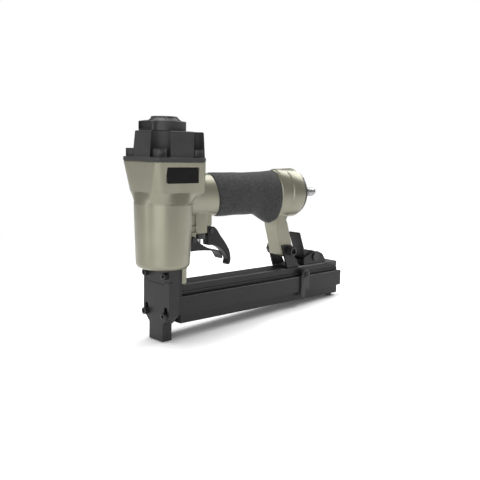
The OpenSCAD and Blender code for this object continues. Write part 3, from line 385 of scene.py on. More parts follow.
def bright_steel(name, base, across=(1.0, 0.04, 1.0), rough=0.26):
    """Turned or drawn steel: tool marks drawn out by the given scales, slightly stained."""
    f = Finish(name)
    marks = f.noise(0.0005, 2.0, vector=f.stretched(*across))
    stain = f.noise(0.008, 4.0)
    tone = f.tones(stain, 0.35, 0.7, base, 1.05, 0.82)
    roughness = rough + (marks - 0.5) * 0.14 + (stain - 0.5) * 0.10
    return f.surface(tone, roughness, f.bump(marks, 0.00002, 0.4), metallic=1.0)


def moulded_plastic(name, base, rough=0.5):
    """Moulded plastic: spark-eroded grain and faint flow clouds."""
    f = Finish(name)
    spark = f.noise(0.0004, 3.0, 0.6)
    flow = f.noise(0.012, 3.0)
    tone = f.tones(flow, 0.3, 0.7, base, 0.93, 1.08)
    roughness = rough + (spark - 0.5) * 0.16 + (flow - 0.5) * 0.08
    return f.surface(tone, roughness, f.bump(spark, 0.00003, 0.4), specular_ior_level=0.45)


def plate_film(name, base):
    """Bare name plate: smooth dark film with a faint vertical brushing and a few dull patches."""
    f = Finish(name)
    brushed = f.noise(0.0006, 2.0, vector=f.stretched(1.0, 1.0, 0.03))
    dull = f.noise(0.009, 3.0)
    tone = f.tones(brushed, 0.3, 0.7, base, 0.8, 1.35)
    roughness = 0.34 + (dull - 0.5) * 0.16 + (brushed - 0.5) * 0.06
    return f.surface(tone, roughness, f.bump(brushed, 0.00001, 0.3), specular_ior_level=0.3)


def soft_rubber(name, base):
    """Moulded rubber with a dusty bloom."""
    f = Finish(name)
    bloom = f.noise(0.006, 4.0)
    tone = f.tones(bloom, 0.45, 0.75, base, 1.0, 1.6)
    return f.surface(tone, 0.75 + (bloom - 0.5) * 0.2, f.bump(bloom, 0.00005, 0.3))


def net_faces(rows, columns, first_pole=False, last_pole=False, ring=False):
    """Faces over a grid that is closed across its columns. A pole closes an end, and a ring joins the last
    row to the first."""
    r, c = np.meshgrid(np.arange(rows if ring else rows - 1), np.arange(columns), indexing="ij")
    r2 = (r + 1) % rows
    c2 = (c + 1) % columns
    quads = np.stack([r * columns + c, r * columns + c2, r2 * columns + c2, r2 * columns + c], -1)
    faces = quads.reshape(-1, 4).tolist()
    round_row = np.arange(columns)
    after = (round_row + 1) % columns
    if first_pole:
        pole = np.full(columns, rows * columns)
        faces += np.stack([after, round_row, pole], -1).tolist()
    if last_pole:
        pole = np.full(columns, rows * columns + int(first_pole))
        base = (rows - 1) * columns
        faces += np.stack([base + round_row, base + after, pole], -1).tolist()
    return faces


def spun(profile, steps=96, knurls=0, knurl_depth=0.0):
    """Solid turned round Z. Each profile row is radius, height and, where they aren't 0, share of a hexagon
    and share of the knurl: at angle t the radius is r (1 - hex + hex / cos(t folded into a sixth)) less the
    knurl's triangle wave. The first and last rows lie on the axis and become poles."""
    rows = np.array([(*row, 0, 0)[:4] for row in profile], float)
    t = np.linspace(0, 2 * np.pi, steps, endpoint=False)
    sixth = np.pi / 3
    folded = np.mod(t + sixth / 2, sixth) - sixth / 2
    hexagon = 1 / np.cos(folded)
    wave = np.abs(np.mod(t * max(knurls, 1) / (2 * np.pi), 1.0) - 0.5) * 2
    body = rows[1:-1]
    radius = body[:, :1] * (1 - body[:, 2:3] + body[:, 2:3] * hexagon) - body[:, 3:4] * knurl_depth * wave
    height = np.broadcast_to(body[:, 1:2], radius.shape)
    points = np.stack([radius * np.cos(t), radius * np.sin(t), height], -1)
    poles = [[0, 0, rows[0, 1]], [0, 0, rows[-1, 1]]]
    return np.concatenate([points.reshape(-1, 3), poles]), net_faces(len(body), steps, True, True)


def coil(radius, wire, turns, tall, steps, sides=8):
    """Compression spring on Z: a circle of wire carried along a helix whose pitch closes up over the first
    and last turn. The frame is the helix's own: outwards, and square to both outwards and the path."""
    n = int(turns * steps) + 1
    s = np.linspace(0, turns, n)
    pitch = np.minimum(np.minimum(s, turns - s), 1.0)
    climb = np.cumsum(np.concatenate([[0], (pitch[1:] + pitch[:-1]) / 2]))
    a = 2 * np.pi * s
    out = np.stack([np.cos(a), np.sin(a), np.zeros(n)], -1)
    centre = out * radius
    centre[:, 2] = wire + (tall - 2 * wire) * climb / climb[-1]
    run = np.gradient(centre, axis=0)
    run /= np.linalg.norm(run, axis=1, keepdims=True)
    up = np.cross(out, run)
    b = np.linspace(0, 2 * np.pi, sides, endpoint=False)
    points = (centre[:, None] + wire * (np.cos(b)[None, :, None] * out[:, None]
                                        - np.sin(b)[None, :, None] * up[:, None]))
    ends = [centre[0], centre[-1]]
    return np.concatenate([points.reshape(-1, 3), ends]), net_faces(n, sides, True, True)


def turned_to(points, direction, place):
    """Points about local Z moved so that Z runs along the direction from the place."""
    z = np.array(direction, float)
    z /= np.linalg.norm(z)
    x = np.cross([0.0, 1.0, 0.0] if abs(z[1]) < 0.9 else [1.0, 0.0, 0.0], z)
    x /= np.linalg.norm(x)
    y = np.cross(z, x)
    return points @ np.array([x, y, z]) + np.array(place, float)


def joined_nets(nets):
    """Several surfaces as one list of points and one of faces."""
    points, faces, start = [], [], 0
    for net_points, net in nets:
        points.append(net_points)
        faces += [[i + start for i in face] for face in net]
        start += len(net_points)
    return np.concatenate(points), faces


def both(a, b, r=0.0):
    """What two solids have in common, the edge between them rounded to radius r. A solid is its distance
    function: below 0 inside, in millimetres."""
    a, b = a + r, b + r
    return np.minimum(np.maximum(a, b), 0) + np.hypot(np.maximum(a, 0), np.maximum(b, 0)) - r


def union(*solids):
    """Several solids as one: the least of their distances."""
    least = solids[0]
    for solid in solids[1:]:
        least = np.minimum(least, solid)
    return least


def melted(a, b, r):
    """Two solids as one, with a fillet about r wide where they meet: the lesser distance less a parabola."""
    return np.minimum(a, b) - np.maximum(r - np.abs(a - b), 0) ** 2 / (4 * r)


def oval(u, v, ru, rv):
    """Distance to an ellipse, worked out from its implicit form and the length of that form's gradient."""
    form = np.sqrt((u / ru) ** 2 + (v / rv) ** 2)
    slope = np.sqrt((u / ru ** 2) ** 2 + (v / rv ** 2) ** 2) + 1e-9
    return form * (form - 1) / slope


def tile(u, v, half_u, half_v, r=0.5):
    """Distance to a rectangle about the origin with rounded corners."""
    return both(np.abs(u) - half_u, np.abs(v) - half_v, r)


def block(x, y, z, low, high, r=0.5):
    """Distance to a box between two corners with rounded edges."""
    parts = [np.abs(v - (a + b) / 2) - (b - a) / 2 for v, a, b in zip((x, y, z), low, high)]
    return both(both(parts[0], parts[1], r), parts[2], r)


def outline(u, v, corners):
    """Signed distance to a closed outline of straight sides: the least distance to a side, below 0 where a
    line to the left crosses an odd number of sides."""
    ends = np.array(corners, float)
    least = np.full(np.broadcast(u, v).shape, np.inf)
    odd = np.zeros(least.shape, bool)
    for (u0, v0), (u1, v1) in zip(ends, np.roll(ends, -1, axis=0)):
        du, dv = u1 - u0, v1 - v0
        t = np.clip(((u - u0) * du + (v - v0) * dv) / (du * du + dv * dv), 0, 1)
        least = np.minimum(least, np.hypot(u - u0 - t * du, v - v0 - t * dv))
        if dv != 0:
            odd ^= ((v0 > v) != (v1 > v)) & (u < du * (v - v0) / dv + u0)
    return np.where(odd, -least, least)


def flowing(points, steps=6):
    """Closed smooth outline through the points: each stretch is a cubic whose slope at a point runs along
    the line between its two neighbours."""
    p = np.array(points, float)
    before, after, beyond = np.roll(p, 1, 0), np.roll(p, -1, 0), np.roll(p, -2, 0)
    t = (np.arange(steps) / steps)[None, :, None]
    p0, p1, p2, p3 = (q[:, None] for q in (before, p, after, beyond))
    square = p0 - 2.5 * p1 + 2 * p2 - p3 / 2
    cube = 1.5 * (p1 - p2) + (p3 - p0) / 2
    return (p1 + t * (p2 - p0) / 2 + t ** 2 * square + t ** 3 * cube).reshape(-1, 2)


def skin(solid, low, high, step):
    """Surface of a distance function on a grid, as surface nets: one point for each cell that the surface
    crosses, at the mean of its crossings with the cell's edges, then drawn onto the surface along the
    gradient, and one face for each grid edge that it crosses."""
    axes = [np.arange(a - 2 * step, b + 3 * step, step) for a, b in zip(low, high)]
    value = solid(*np.meshgrid(*axes, indexing="ij", sparse=True))
    value = np.broadcast_to(value, [len(a) for a in axes])
    cells = np.array(value.shape)
    strides = np.array([cells[1] * cells[2], cells[2], 1])
    keys, spots, loops = [], [], []
    for axis in range(3):
        first = value[tuple(slice(None, -1) if k == axis else slice(None) for k in range(3))]
        second = value[tuple(slice(1, None) if k == axis else slice(None) for k in range(3))]
        edge = np.argwhere((first < 0) != (second < 0))
        a, b = first[tuple(edge.T)], second[tuple(edge.T)]
        spot = edge.astype(float)
        spot[:, axis] += a / (a - b)
        u, v = (axis + 1) % 3, (axis + 2) % 3
        around = []
        for du, dv in ((0, 0), (1, 0), (1, 1), (0, 1)):
            cell = edge.copy()
            cell[:, u] -= du
            cell[:, v] -= dv
            around.append(cell @ strides)
            keys.append(around[-1])
            spots.append(spot)
        around = np.stack(around, -1)
        loops.append(np.where((a < 0)[:, None], around, around[:, ::-1]))
    used, place = np.unique(np.concatenate(keys), return_inverse=True)
    spots = np.concatenate(spots)
    count = np.bincount(place)
    mean = np.stack([np.bincount(place, spots[:, k]) for k in range(3)], -1) / count[:, None]
    points = mean * step + np.array([a[0] for a in axes])
    for _ in range(2):
        slope = gradient(solid, points)
        off = solid(*points.T)[:, None] / np.maximum((slope ** 2).sum(1, keepdims=True), 0.2) * slope
        points = points - np.clip(off, -0.45 * step, 0.45 * step)
    faces = np.searchsorted(used, np.concatenate(loops))
    return points, faces.tolist()


def gradient(solid, points, reach=0.05):
    """Central differences of a distance function at points."""
    sides = []
    for k in range(3):
        shift = np.zeros(3)
        shift[k] = reach
        sides.append((solid(*(points + shift).T) - solid(*(points - shift).T)) / (2 * reach))
    return np.stack(sides, -1)


def settle(obj, slot, node, finish=None, rides=True):
    """Gives a finished piece the material of its slot, rides it on the body of the solid that it stands for
    unless told not to, and hides that solid.
    """
    obj.data.materials.clear()
    obj.data.materials.append(finishes[finish or slot])
    if rides:
        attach(obj, frame["nodes"][node]["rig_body"])
    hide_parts(node)
    return obj


def shown(name, mesh, fold):
    """A new object of a mesh, smooth but for folds sharper than the given angle."""
    mesh.shade_smooth()
    mesh.set_sharp_from_angle(angle=fold)
    obj = bpy.data.objects.new(name, mesh)
    bpy.context.scene.collection.objects.link(obj)
    return obj


def piece(name, net, slot, node, fold=math.radians(35), **settings):
    """A new piece from points in millimetres and faces."""
    points, faces = net
    mesh = bpy.data.meshes.new(name)
    mesh.from_pydata((points * MM).tolist(), [], faces)
    mesh.validate()
    mesh.update()
    return settle(shown(name, mesh, fold), slot, node, **settings)


def moulded(name, solid, low, high, step, slot, node):
    """A new piece skinned from a distance function, shaded by the function's own gradient."""
    net = skin(solid, low, high, step)
    obj = piece(name, net, slot, node, math.pi)
    slope = gradient(solid, net[0])
    slope /= np.maximum(np.linalg.norm(slope, axis=1, keepdims=True), 1e-6)
    obj.data.normals_split_custom_set_from_vertices(slope.tolist())
    return obj


def fine_copy(node, slot, edge, finish=None):
    """A copy of a solid's mesh with its doubles merged and flat faces joined, whose edges a live bevel
    rounds."""
    name = node + "_fine"
    fold = math.radians(33)
    shape = bmesh.new()
    shape.from_mesh(frame["nodes"][node].data)
    bmesh.ops.remove_doubles(shape, verts=shape.verts, dist=0.000002)
    bmesh.ops.dissolve_limit(shape, angle_limit=math.radians(0.8), verts=shape.verts, edges=shape.edges)
    mesh = bpy.data.meshes.new(name)
    shape.to_mesh(mesh)
    shape.free()
    obj = shown(name, mesh, fold)
    bevel = obj.modifiers.new("edges", "BEVEL")
    bevel.width = edge
    bevel.segments = 2
    bevel.limit_method = "ANGLE"
    bevel.angle_limit = fold
    bevel.use_clamp_overlap = False
    bevel.harden_normals = True
    bevel.miter_outer = "MITER_ARC"
    return settle(obj, slot, node, finish)


def head_plan(x, y, z):
    """Plan of the casting's square part at a height. It draws in downwards in front and at the sides and
    leans out behind, and its front corners widen from a circle to a flat ellipse."""
    t = np.clip((TOP_Z - z) / HEAD_H, -0.2, 1.0)
    half, front, rear = HEAD_HALF - HEAD_DRAW * t, HEAD_HALF - 3.0 * t, 32.4 + 2.6 * t
    wide = 4.6 + 9.0 * t
    deep = 4.6 + 3.4 * t
    u, v = np.abs(x) - (half - wide), -y - (front - deep)
    near = np.where((u > 0) & (v > 0), oval(np.maximum(u, 1e-6), np.maximum(v, 1e-6), wide, deep),
                    np.maximum(u - wide, v - deep))
    far = both(np.abs(x) - half, y - rear, 8.0)
    return np.where(y < 0, near, far)


def plate_frame(x, y, z):
    """Coordinates on the sloping face that carries the name plate: along it, up it and out of it."""
    drop, lean = 12.8, math.atan(HEAD_DRAW / HEAD_H)
    out = x - (HEAD_HALF - HEAD_DRAW * drop / HEAD_H)
    up = z - (TOP_Z - drop)
    return y - 1.9, up * math.cos(lean) - out * math.sin(lean), out * math.cos(lean) + up * math.sin(lean)


def plate_solid(x, y, z):
    """The bare name plate in its recess."""
    along, up, out = plate_frame(x, y, z)
    return both(tile(along, up, 18.9, 7.3, 1.3), np.abs(out + 0.4) - 0.35, 0.15)


def rounded_plan(x, y, half, front, rear, front_r, rear_r):
    """Distance to a rectangle in plan whose front corners are rounded otherwise than its rear ones."""
    side = np.abs(x) - half
    return np.where(y < 0, both(side, -front - y, front_r), both(side, y - rear, rear_r))


def casting_solid(x, y, z):
    """The whole casting: barrel, square head on its shoulder, handle root and core, rear bell, leg, lug and
    trigger housing, melted into one and cut by the engine chamber and the plate's recess."""
    rho = np.hypot(x, y)
    barrel_r = 26.8 + 1.9 * np.clip((z - 78) / (SHOULDER_Z - 78), 0, 1)
    barrel = both(both(rho - barrel_r, RIM_Z - z, 5.5), z - SHOULDER_Z, 0.4)
    square = np.clip((z - SHOULDER_Z) / (SQUARE_Z - SHOULDER_Z), 0, 1) ** 1.35
    head = square * head_plan(x, y, z) + (1 - square) * (rho - barrel_r + 0.25)
    head = both(both(head, SHOULDER_Z - 2 - z, 0.3), z - TOP_Z, 0.3)
    engine = union(barrel, head)
    # handle: root up to the slanted edge of the foam, core under the foam
    slant = (y - 55.4) * math.cos(FOAM_LEAN) + (z - HANDLE_Z - GRIP_TALL) * math.sin(FOAM_LEAN)
    root = both(both(oval(x, z - HANDLE_Z, 14.2, 21.9), slant, 0.8), 5 - y)
    a, low, high = grip_half(y)
    core = both(oval(x, z - (low + high) / 2, a - 3.1, (high - low) / 2 - 3.1), np.abs(y - 100) - 56)
    # bell: an upright oval that widens in two sweeps, with a crease between them
    first = np.clip((y - 152.5) / (BELL_CREASE - 152.5), 0, 1) ** 0.85
    second = np.clip((y - BELL_CREASE) / (BELL_END - BELL_CREASE), 0, 1)
    wide = 15.7 + 5.6 * first + np.clip(second * 10, 0, 1) + 4.0 * second * (1.7 - 0.7 * second)
    rise = 1 - np.clip((y - 149.6) / 5, 0, 1)
    tall = 27.2 - 1.9 * rise * rise + 0.6 * second
    bell_front = 150.0 + 3.1 * np.clip(np.abs(x) / 16, 0, 1) ** 2 - y
    bell = both(both(oval(x, z - BELL_Z, wide, tall), bell_front, 0.5), y - BELL_END, 0.2)
    leg = both(outline(y, z, LEG), np.abs(x) - 9.7, 0.8)
    rear = melted(melted(bell, core, 1.0), leg, 1.2)
    # trigger housing: two columns, ledges to the barrel and the lugs of both levers
    front_column = both(tile(x, y - 42.2, 9.0, 7.8, 3.0), np.abs(z - 122.5) - 19.2, 0.6)
    rear_column = block(x, y, z, (-8, 44, COLUMN_Z + 7), (8, 56.2, HANDLE_Z), 1.2)
    web = block(x, y, z, (-6.4, 15, COLUMN_Z), (6.4, 40, HANDLE_Z), 0.4)
    rails = block(x, y, np.abs(z - COLUMN_Z - 4), (-8.4, 15, 2.3), (8.4, 36, 4), 0.3)
    from_pin = np.hypot(y - PIN[0], z - PIN[1])
    from_swing = np.hypot(y - SWING[0], z - SWING[1])
    pin_lug = union(from_pin - 4.4, tile(y - PIN[0], z - PIN[1] - 4.55, 4.4, 4.55, 0.2))
    pin_lug = both(pin_lug, np.abs(x) - 4.6, 0.4)
    swing_lug = both(union(from_swing - 4.2, outline(y, z, SWING_LUG)), np.abs(x) - 2.9, 0.4)
    housing = union(melted(front_column, rear_column, 0.8), web, rails, pin_lug, swing_lug)
    seat = block(x, y, z, (-20.9, -8.0, RIM_Z), (20.9, 4.1, 82), 0.4)
    lug = block(x, y, z, (-15.4, 10.8, CHANNEL_TOP), (15.4, 18.6, 86), 1.8)
    solid = union(melted(melted(engine, root, 3.0), core, 0.5), melted(rear, root, 0.5), housing)
    solid = union(melted(solid, lug, 2.0), seat)
    along, up, out = plate_frame(x, y, z)
    recess = both(tile(along, up, 19.2, 7.6, 1.4), -0.75 - out)
    solid = both(solid, -recess, 0.15)
    chamber = both(rho - ENGINE_R, 80 - z)
    bore = both(np.hypot(x, z - BELL_Z) - 18.0, 172 - y)
    valve = both(np.hypot(x, y - 46.5) - 6.25, z - 124)
    tang = block(x, y, z, (-12.1, -5.1, 70), (12.1, 3.2, 84), 0.1)
    pins = union(from_pin, from_swing) - PIN_R
    bolt = np.hypot(y - BOLT[0], z - BOLT[1]) - BOLT_R
    from_screw = np.hypot(np.abs(x) - SCREW_X, np.where(y < 0, y - SCREW_FRONT, y - SCREW_BACK))
    threads = both(from_screw - BOLT_R, 157 - z)
    return np.maximum(solid, -union(chamber, bore, valve, tang, pins, bolt, threads))


def cap_solid(x, y, z):
    """The head cap: a flange flush with the casting, a block drawn in towards its top, notches round the
    front screws, pockets open to the sides round the rear ones, and the bore of the head valve."""
    flange = both(rounded_plan(x, y, 29.15, 29.15, 32.6, 4.6, 8.0),
                  np.abs(z - (TOP_Z + FLANGE_Z) / 2) - (FLANGE_Z - TOP_Z) / 2, 0.45)
    rise = np.clip((z - FLANGE_Z) / 24.5, 0, 1)
    plan = rounded_plan(x, y, 27.1 - 0.8 * rise, 26.8 - 2.0 * rise, 32.2 - 1.2 * rise, 2.0, 6.5)
    body = both(both(plan, z - CAP_TOP, 1.1), TOP_Z + 1 - z)
    notch = np.hypot(np.abs(x) - SCREW_X, y - SCREW_FRONT) - 9.7
    pocket = union(np.hypot(np.abs(x) - SCREW_X, y - SCREW_BACK) - 7.0,
                   both(21.9 - np.abs(x), np.abs(y - SCREW_BACK) - 7.0))
    for hole in (notch, pocket):
        body = both(body, -both(hole, FLANGE_Z - 0.2 - z), 0.6)
    solid = melted(flange, body, 0.6)
    spigot = both(np.hypot(x, y) - 23.4, np.abs(z - 173.5) - 3.5)
    bore = both(np.hypot(x, y) - 15.55, z - 198)
    return np.maximum(union(solid, spigot), -bore)


def deflector_solid(x, y, z):
    """The exhaust deflector: a disc with a boxed outlet in front, and a low cone on top with six sunk panels
    between its ribs."""
    rho = np.hypot(x, y)
    disc = both(both(rho - 21.0, z - DISC_TOP, 0.9), DEFLECTOR_Z - z, 0.3)
    box = both(both(both(np.abs(x) - 12.0, -22.6 - y, 2.6), y, 0.1),
               both(z - DISC_TOP + 0.2, DEFLECTOR_Z - z, 0.4), 0.9)
    solid = melted(disc, box, 1.5)
    slope = math.atan2(5.8, CONE_H)
    face = (rho - CONE_R) * math.cos(slope) + (z - DISC_TOP) * math.sin(slope)
    cone = both(both(face, z - DISC_TOP - CONE_H, 0.4), DISC_TOP - 1 - z)
    angle = np.mod(np.arctan2(y, x) + np.pi / 6, np.pi / 3) - np.pi / 6
    rib = rho * np.sin(np.pi / 6 - np.abs(angle))
    panel = both(both(0.6 - rib, -0.9 - face), both(12.9 - rho, rho - 16.9), 0.2)
    solid = union(solid, both(cone, -panel, 0.15))
    mouth = both(both(np.abs(x) - 10.3, np.abs(z - 208.9) - 3.4, 1.3), y + 18.5, 0.5)
    hollow = both(both(rho - 18.0, 6.5 - rho), z - DISC_TOP + 3.0, 0.5)
    hub = both(rho - 5.2, DISC_TOP + CONE_H - 3.0 - z)
    hole = rho - 2.6
    return np.maximum(solid, -union(mouth, hollow, hub, hole))


def trigger_solid(x, y, z):
    """The trigger: a channel whose floor is the finger's spoon, with a pad for the valve stem."""
    u, v = y - PIN[0], z - PIN[1]
    sides = outline(u, v, flowing(TRIGGER_TOP + SPOON))
    floor = outline(u, v, flowing(((-5.1, -9.2), (4, -9.2), (14, -9.6), (21, -10.0)) + SPOON))
    shell = both(sides, np.abs(x) - 6.9, 0.6)
    solid = both(shell, -both(np.abs(x) - 4.9, -floor, 0.3), 0.2)
    solid = both(solid, both(np.abs(x) - 6.9, u - 40.2, 3.4), 0.4)
    pad = block(x, u, v, (-3, 10.5, -10.5), (3, 14.9, STEM_Z - PIN[1] - 0.3), 0.3)
    return np.maximum(union(solid, pad), PIN_R - np.hypot(u, v))


def safety_solid(x, y, z):
    """The safety lever: a curved horn forked round the casting's lug."""
    u, v = y - SWING[0], z - SWING[1]
    horn = both(outline(u, v, flowing(HORN)), np.abs(x) - 4.55, 1.1)
    room = union(np.hypot(u, v) - 4.7, tile(u + 2.65, v - 7, 7.35, 10), tile(u + 5.5, v - 0.5, 4.5, 5))
    horn = np.maximum(horn, -both(np.abs(x) - 3.25, room, 0.2))
    return np.maximum(horn, PIN_R - np.hypot(u, v))


def latch_solid(x, y, z):
    """The latch lever: a straight thumb plate, an arm to the barrel on the pin and the hook below it."""
    u, v = y - LATCH[0], z - LATCH[1]
    plate = outline(u, v, (
        (-28.9, 29.6), (-28.2, 30.4), (-26.8, 30.4), (-18.0, 9.6), (-14.2, 8.9), (-1, 7.2), (3.5, 5.2),
        (-1, 0.5), (-6.9, 4.8), (-15.4, 5.6), (-14.0, -2.2), (-16.0, -2.2)))
    plate = both(plate, np.abs(x) - 8.0, 0.4)
    barrel = both(np.hypot(u, v) - 6.4, np.abs(x) - 8.0, 0.4)
    hook = outline(u, v, ((1, -4), (5.9, -2), (8.6, -7), (8.6, -15.6), (5.4, -15.6), (4.2, -8)))
    hook = both(hook, np.abs(x) - 2.8, 0.3)
    flange = outline(u, v, ((-17.4, 7.8), (-14.0, 7.5), (-1, 6), (-1, -1.0), (-15.0, -1.0)))
    flanges = both(flange, np.abs(np.abs(x) - 7.2) - 0.8, 0.3)
    solid = union(melted(union(plate, flanges), barrel, 0.8), hook)
    return np.maximum(solid, LATCH_R - np.hypot(u, v))


def cheeks_solid(x, y, z):
    """The latch's housing: two side plates, a floor with a slot for the hook and a low wall in front."""
    u, v = y - LATCH[0], z - CHANNEL_TOP
    side = outline(u, v, ((-20.2, 0), (-20.6, 8.4), (-6.6, 14), (4, 14.6), (13, 11), (18.5, 4), (18.5, 0)))
    plates = both(side, np.abs(np.abs(x) - 9.2) - 0.8, 0.3)
    floor = block(x, u, v, (-9.6, -19.9, 0), (9.6, 18.5, 1.6), 0.2)
    wall = block(x, u, v, (-9.6, -20.2, 0), (9.6, -18.7, 6.2), 0.3)
    solid = union(plates, floor, wall)
    slot = np.maximum(tile(x, u - 7.5, 3.5, 4.5, 0.5), np.abs(v) - 4)
    return np.maximum(solid, -union(slot, np.hypot(u, v - 8.3) - LATCH_R))


def grip_half(y):
    """Half width, low edge and high edge of the grip at y, with its swell towards the rear."""
    t = np.clip((y - 118.0) / 32.0, 0, 1)
    ease = t * t * (3 - 2 * t)
    return 15.0 + 1.4 * ease, HANDLE_Z - GRIP_TALL - 12.4 * ease, HANDLE_Z + GRIP_TALL + 1.8 * ease


def foam_net(wall, wander):
    """The sleeve as a closed ring of sections: at each angle its wall is a loop that runs back over the
    outside, round the rear lip, forward inside and round the front lip. The front edge leans: y grows by a
    fifth of the depth below the top. Two slow waves make the surface uneven, and each lip swells a little
    before it turns in."""
    around, outer, lip, inner = 144, 96, 10, 16
    t = np.linspace(0, 2 * np.pi, around, endpoint=False)
    half = wall / 2
    arc = np.linspace(0, np.pi, lip + 2)[1:-1]
    along = np.concatenate([np.linspace(0, 1, outer), np.ones(lip), np.linspace(1, 0, inner), np.zeros(lip)])
    turn, swing = half * np.cos(arc), half * np.sin(arc)
    depth = np.concatenate([np.zeros(outer), half - turn, np.full(inner, wall), half + turn])
    push = np.concatenate([np.zeros(outer), swing, np.zeros(inner), -swing])
    ct, st = np.cos(t), np.sin(t)
    front = 55.5 + GRIP_TALL * (1 + st) * math.tan(FOAM_LEAN) + half
    notch = np.clip((st - 0.80) / 0.12, 0, 1) * (np.abs(ct) < 0.9)
    rear = 149.9 - half + 3.1 * ct * ct - 3.4 * notch * notch * (3 - 2 * notch)
    y = front[:, None] + (rear - front)[:, None] * along[None] + push[None]
    a, low, high = grip_half(y)
    mid, tall = (low + high) / 2, (high - low) / 2
    swell = wander * (np.sin(y * 0.21 + 3 * t[:, None]) + np.sin(y * 0.13 - 2 * t[:, None] + 1.3))
    rim = 0.25 * sum(np.exp(-((y - end[:, None]) / 1.6) ** 2) for end in (front, rear))
    inset = depth[None] + (rim - swell) * (depth[None] < 0.5)
    x = (a - inset) * ct[:, None]
    z = mid - (tall - inset) * st[:, None]
    sections = np.stack([x, y, z], -1).transpose(1, 0, 2)
    return sections.reshape(-1, 3), net_faces(len(along), around, ring=True)


def socket_head(radius, height, socket, depth, shank, length, chamfer=0.5):
    """Profile of a socket screw for spun(): shank, underside, knurled side, chamfer, flat top, hexagon
    socket with a cone at its bottom. Height 0 is the underside of the head."""
    edge = height - chamfer
    floor = height - depth
    return [
        (0, -length), (shank - 0.5, -length), (shank, -length + 0.5), (shank, -0.05), (shank + 0.05, 0),
        (radius - 0.3, 0), (radius, 0.3), (radius, 0.7), (radius, 0.9, 0, 1), (radius, edge - 0.5, 0, 1),
        (radius, edge - 0.25), (radius, edge), (radius - chamfer * 0.3, height - chamfer * 0.25),
        (radius - chamfer, height), (socket * 1.22, height), (socket * 1.16, height - 0.1),
        (socket, height - 0.35, 1), (socket, floor, 1), (socket * 0.97, floor - 0.08, 1),
        (0, floor - socket * 0.4)]


finishes = {}


class FinishesOperator(bpy.types.Operator):
    """Makes the finish of each slot, from the colours of the panel"""

    bl_idname = "nailer.finishes"
    bl_label = "Finishes"

    def execute(self, context):
        c = context.scene.nailer_colours
        rubber = soft_rubber("seal_rubber", c.rubber)
        finishes.update({
            "casting": satin_paint("satin_champagne", c.casting),
            "head_cap": coated_metal("cap_coating", c.cap),
            "end_cap": coated_metal("end_cap_coating", c.cap, rough=0.5),
            "deflector": moulded_plastic("deflector_plastic", c.moulded),
            "wedge_plastic": moulded_plastic("wedge_plastic", c.moulded, 0.55),
            "magazine_black": drawn_metal("magazine_anodised", c.magazine),
            "nose_black": oxide_steel("nose_oxide", c.nose),
            "lever_black": coated_metal("lever_coating", c.lever, 0.0005, 0.00003, 0.46),
            "bracket_black": coated_metal("bracket_coating", c.lever, 0.0007, 0.00004, 0.44),
            "black_screw": oxide_steel("screw_oxide", c.screw, 0.36),
            "grip_foam": foam_skin("grip_foam", c.foam),
            "name_plate": plate_film("plate_film", c.plate),
            "plug": bright_steel("plug_steel", c.steel, (1.0, 12.0, 1.0), 0.38),
            "bright_steel": bright_steel("drawn_steel", c.steel),
            "piston_alloy": bright_steel("engine_alloy", c.steel, (1.0, 1.0, 0.1), 0.3),
            "spring_steel": bright_steel("spring_wire", c.steel, (1.0, 1.0, 1.0), 0.32),
            "seal_rubber": rubber,
            "bumper_rubber": rubber,
            "valve_plastic": moulded_plastic("valve_plastic", c.moulded, 0.42),
        })
        return {"FINISHED"}


class InnerOperator(bpy.types.Operator):
    """Finishes every solid in its own mesh, which the pieces inside the tool keep"""

    bl_idname = "nailer.inner"
    bl_label = "Inner pieces"

    def execute(self, context):
        slots = {row["node"]: row["material_slot"] for row in frame["record"]["subparts"]}
        for node, obj in frame["nodes"].items():
            for holder in obj.material_slots:
                holder.link = "OBJECT"
                holder.material = finishes[slots[node]]
        return {"FINISHED"}


class CastingOperator(bpy.types.Operator):
    """Dresses the casting and its bare name plate"""

    bl_idname = "nailer.casting"
    bl_label = "Casting"

    def execute(self, context):
        moulded("casting_shell", casting_solid, (-30, -30, 55), (30, 181, 177), 0.95, "casting",
                "body_housing")
        moulded("name_plate_bare", plate_solid, (25, -18, 154), (30, 22, 171), 0.3, "name_plate",
                "name_plate")
        return {"FINISHED"}


class HeadOperator(bpy.types.Operator):
    """Dresses the head cap and the exhaust deflector"""

    bl_idname = "nailer.head"
    bl_label = "Head"

    def execute(self, context):
        moulded("head_cap_cast", cap_solid, (-30, -30, 170), (30, 33, 205), 0.6, "head_cap", "head_cap")
        moulded("deflector_moulded", deflector_solid, (-22, -23, 204), (22, 22, 219), 0.5, "deflector",
                "exhaust_deflector")
        return {"FINISHED"}


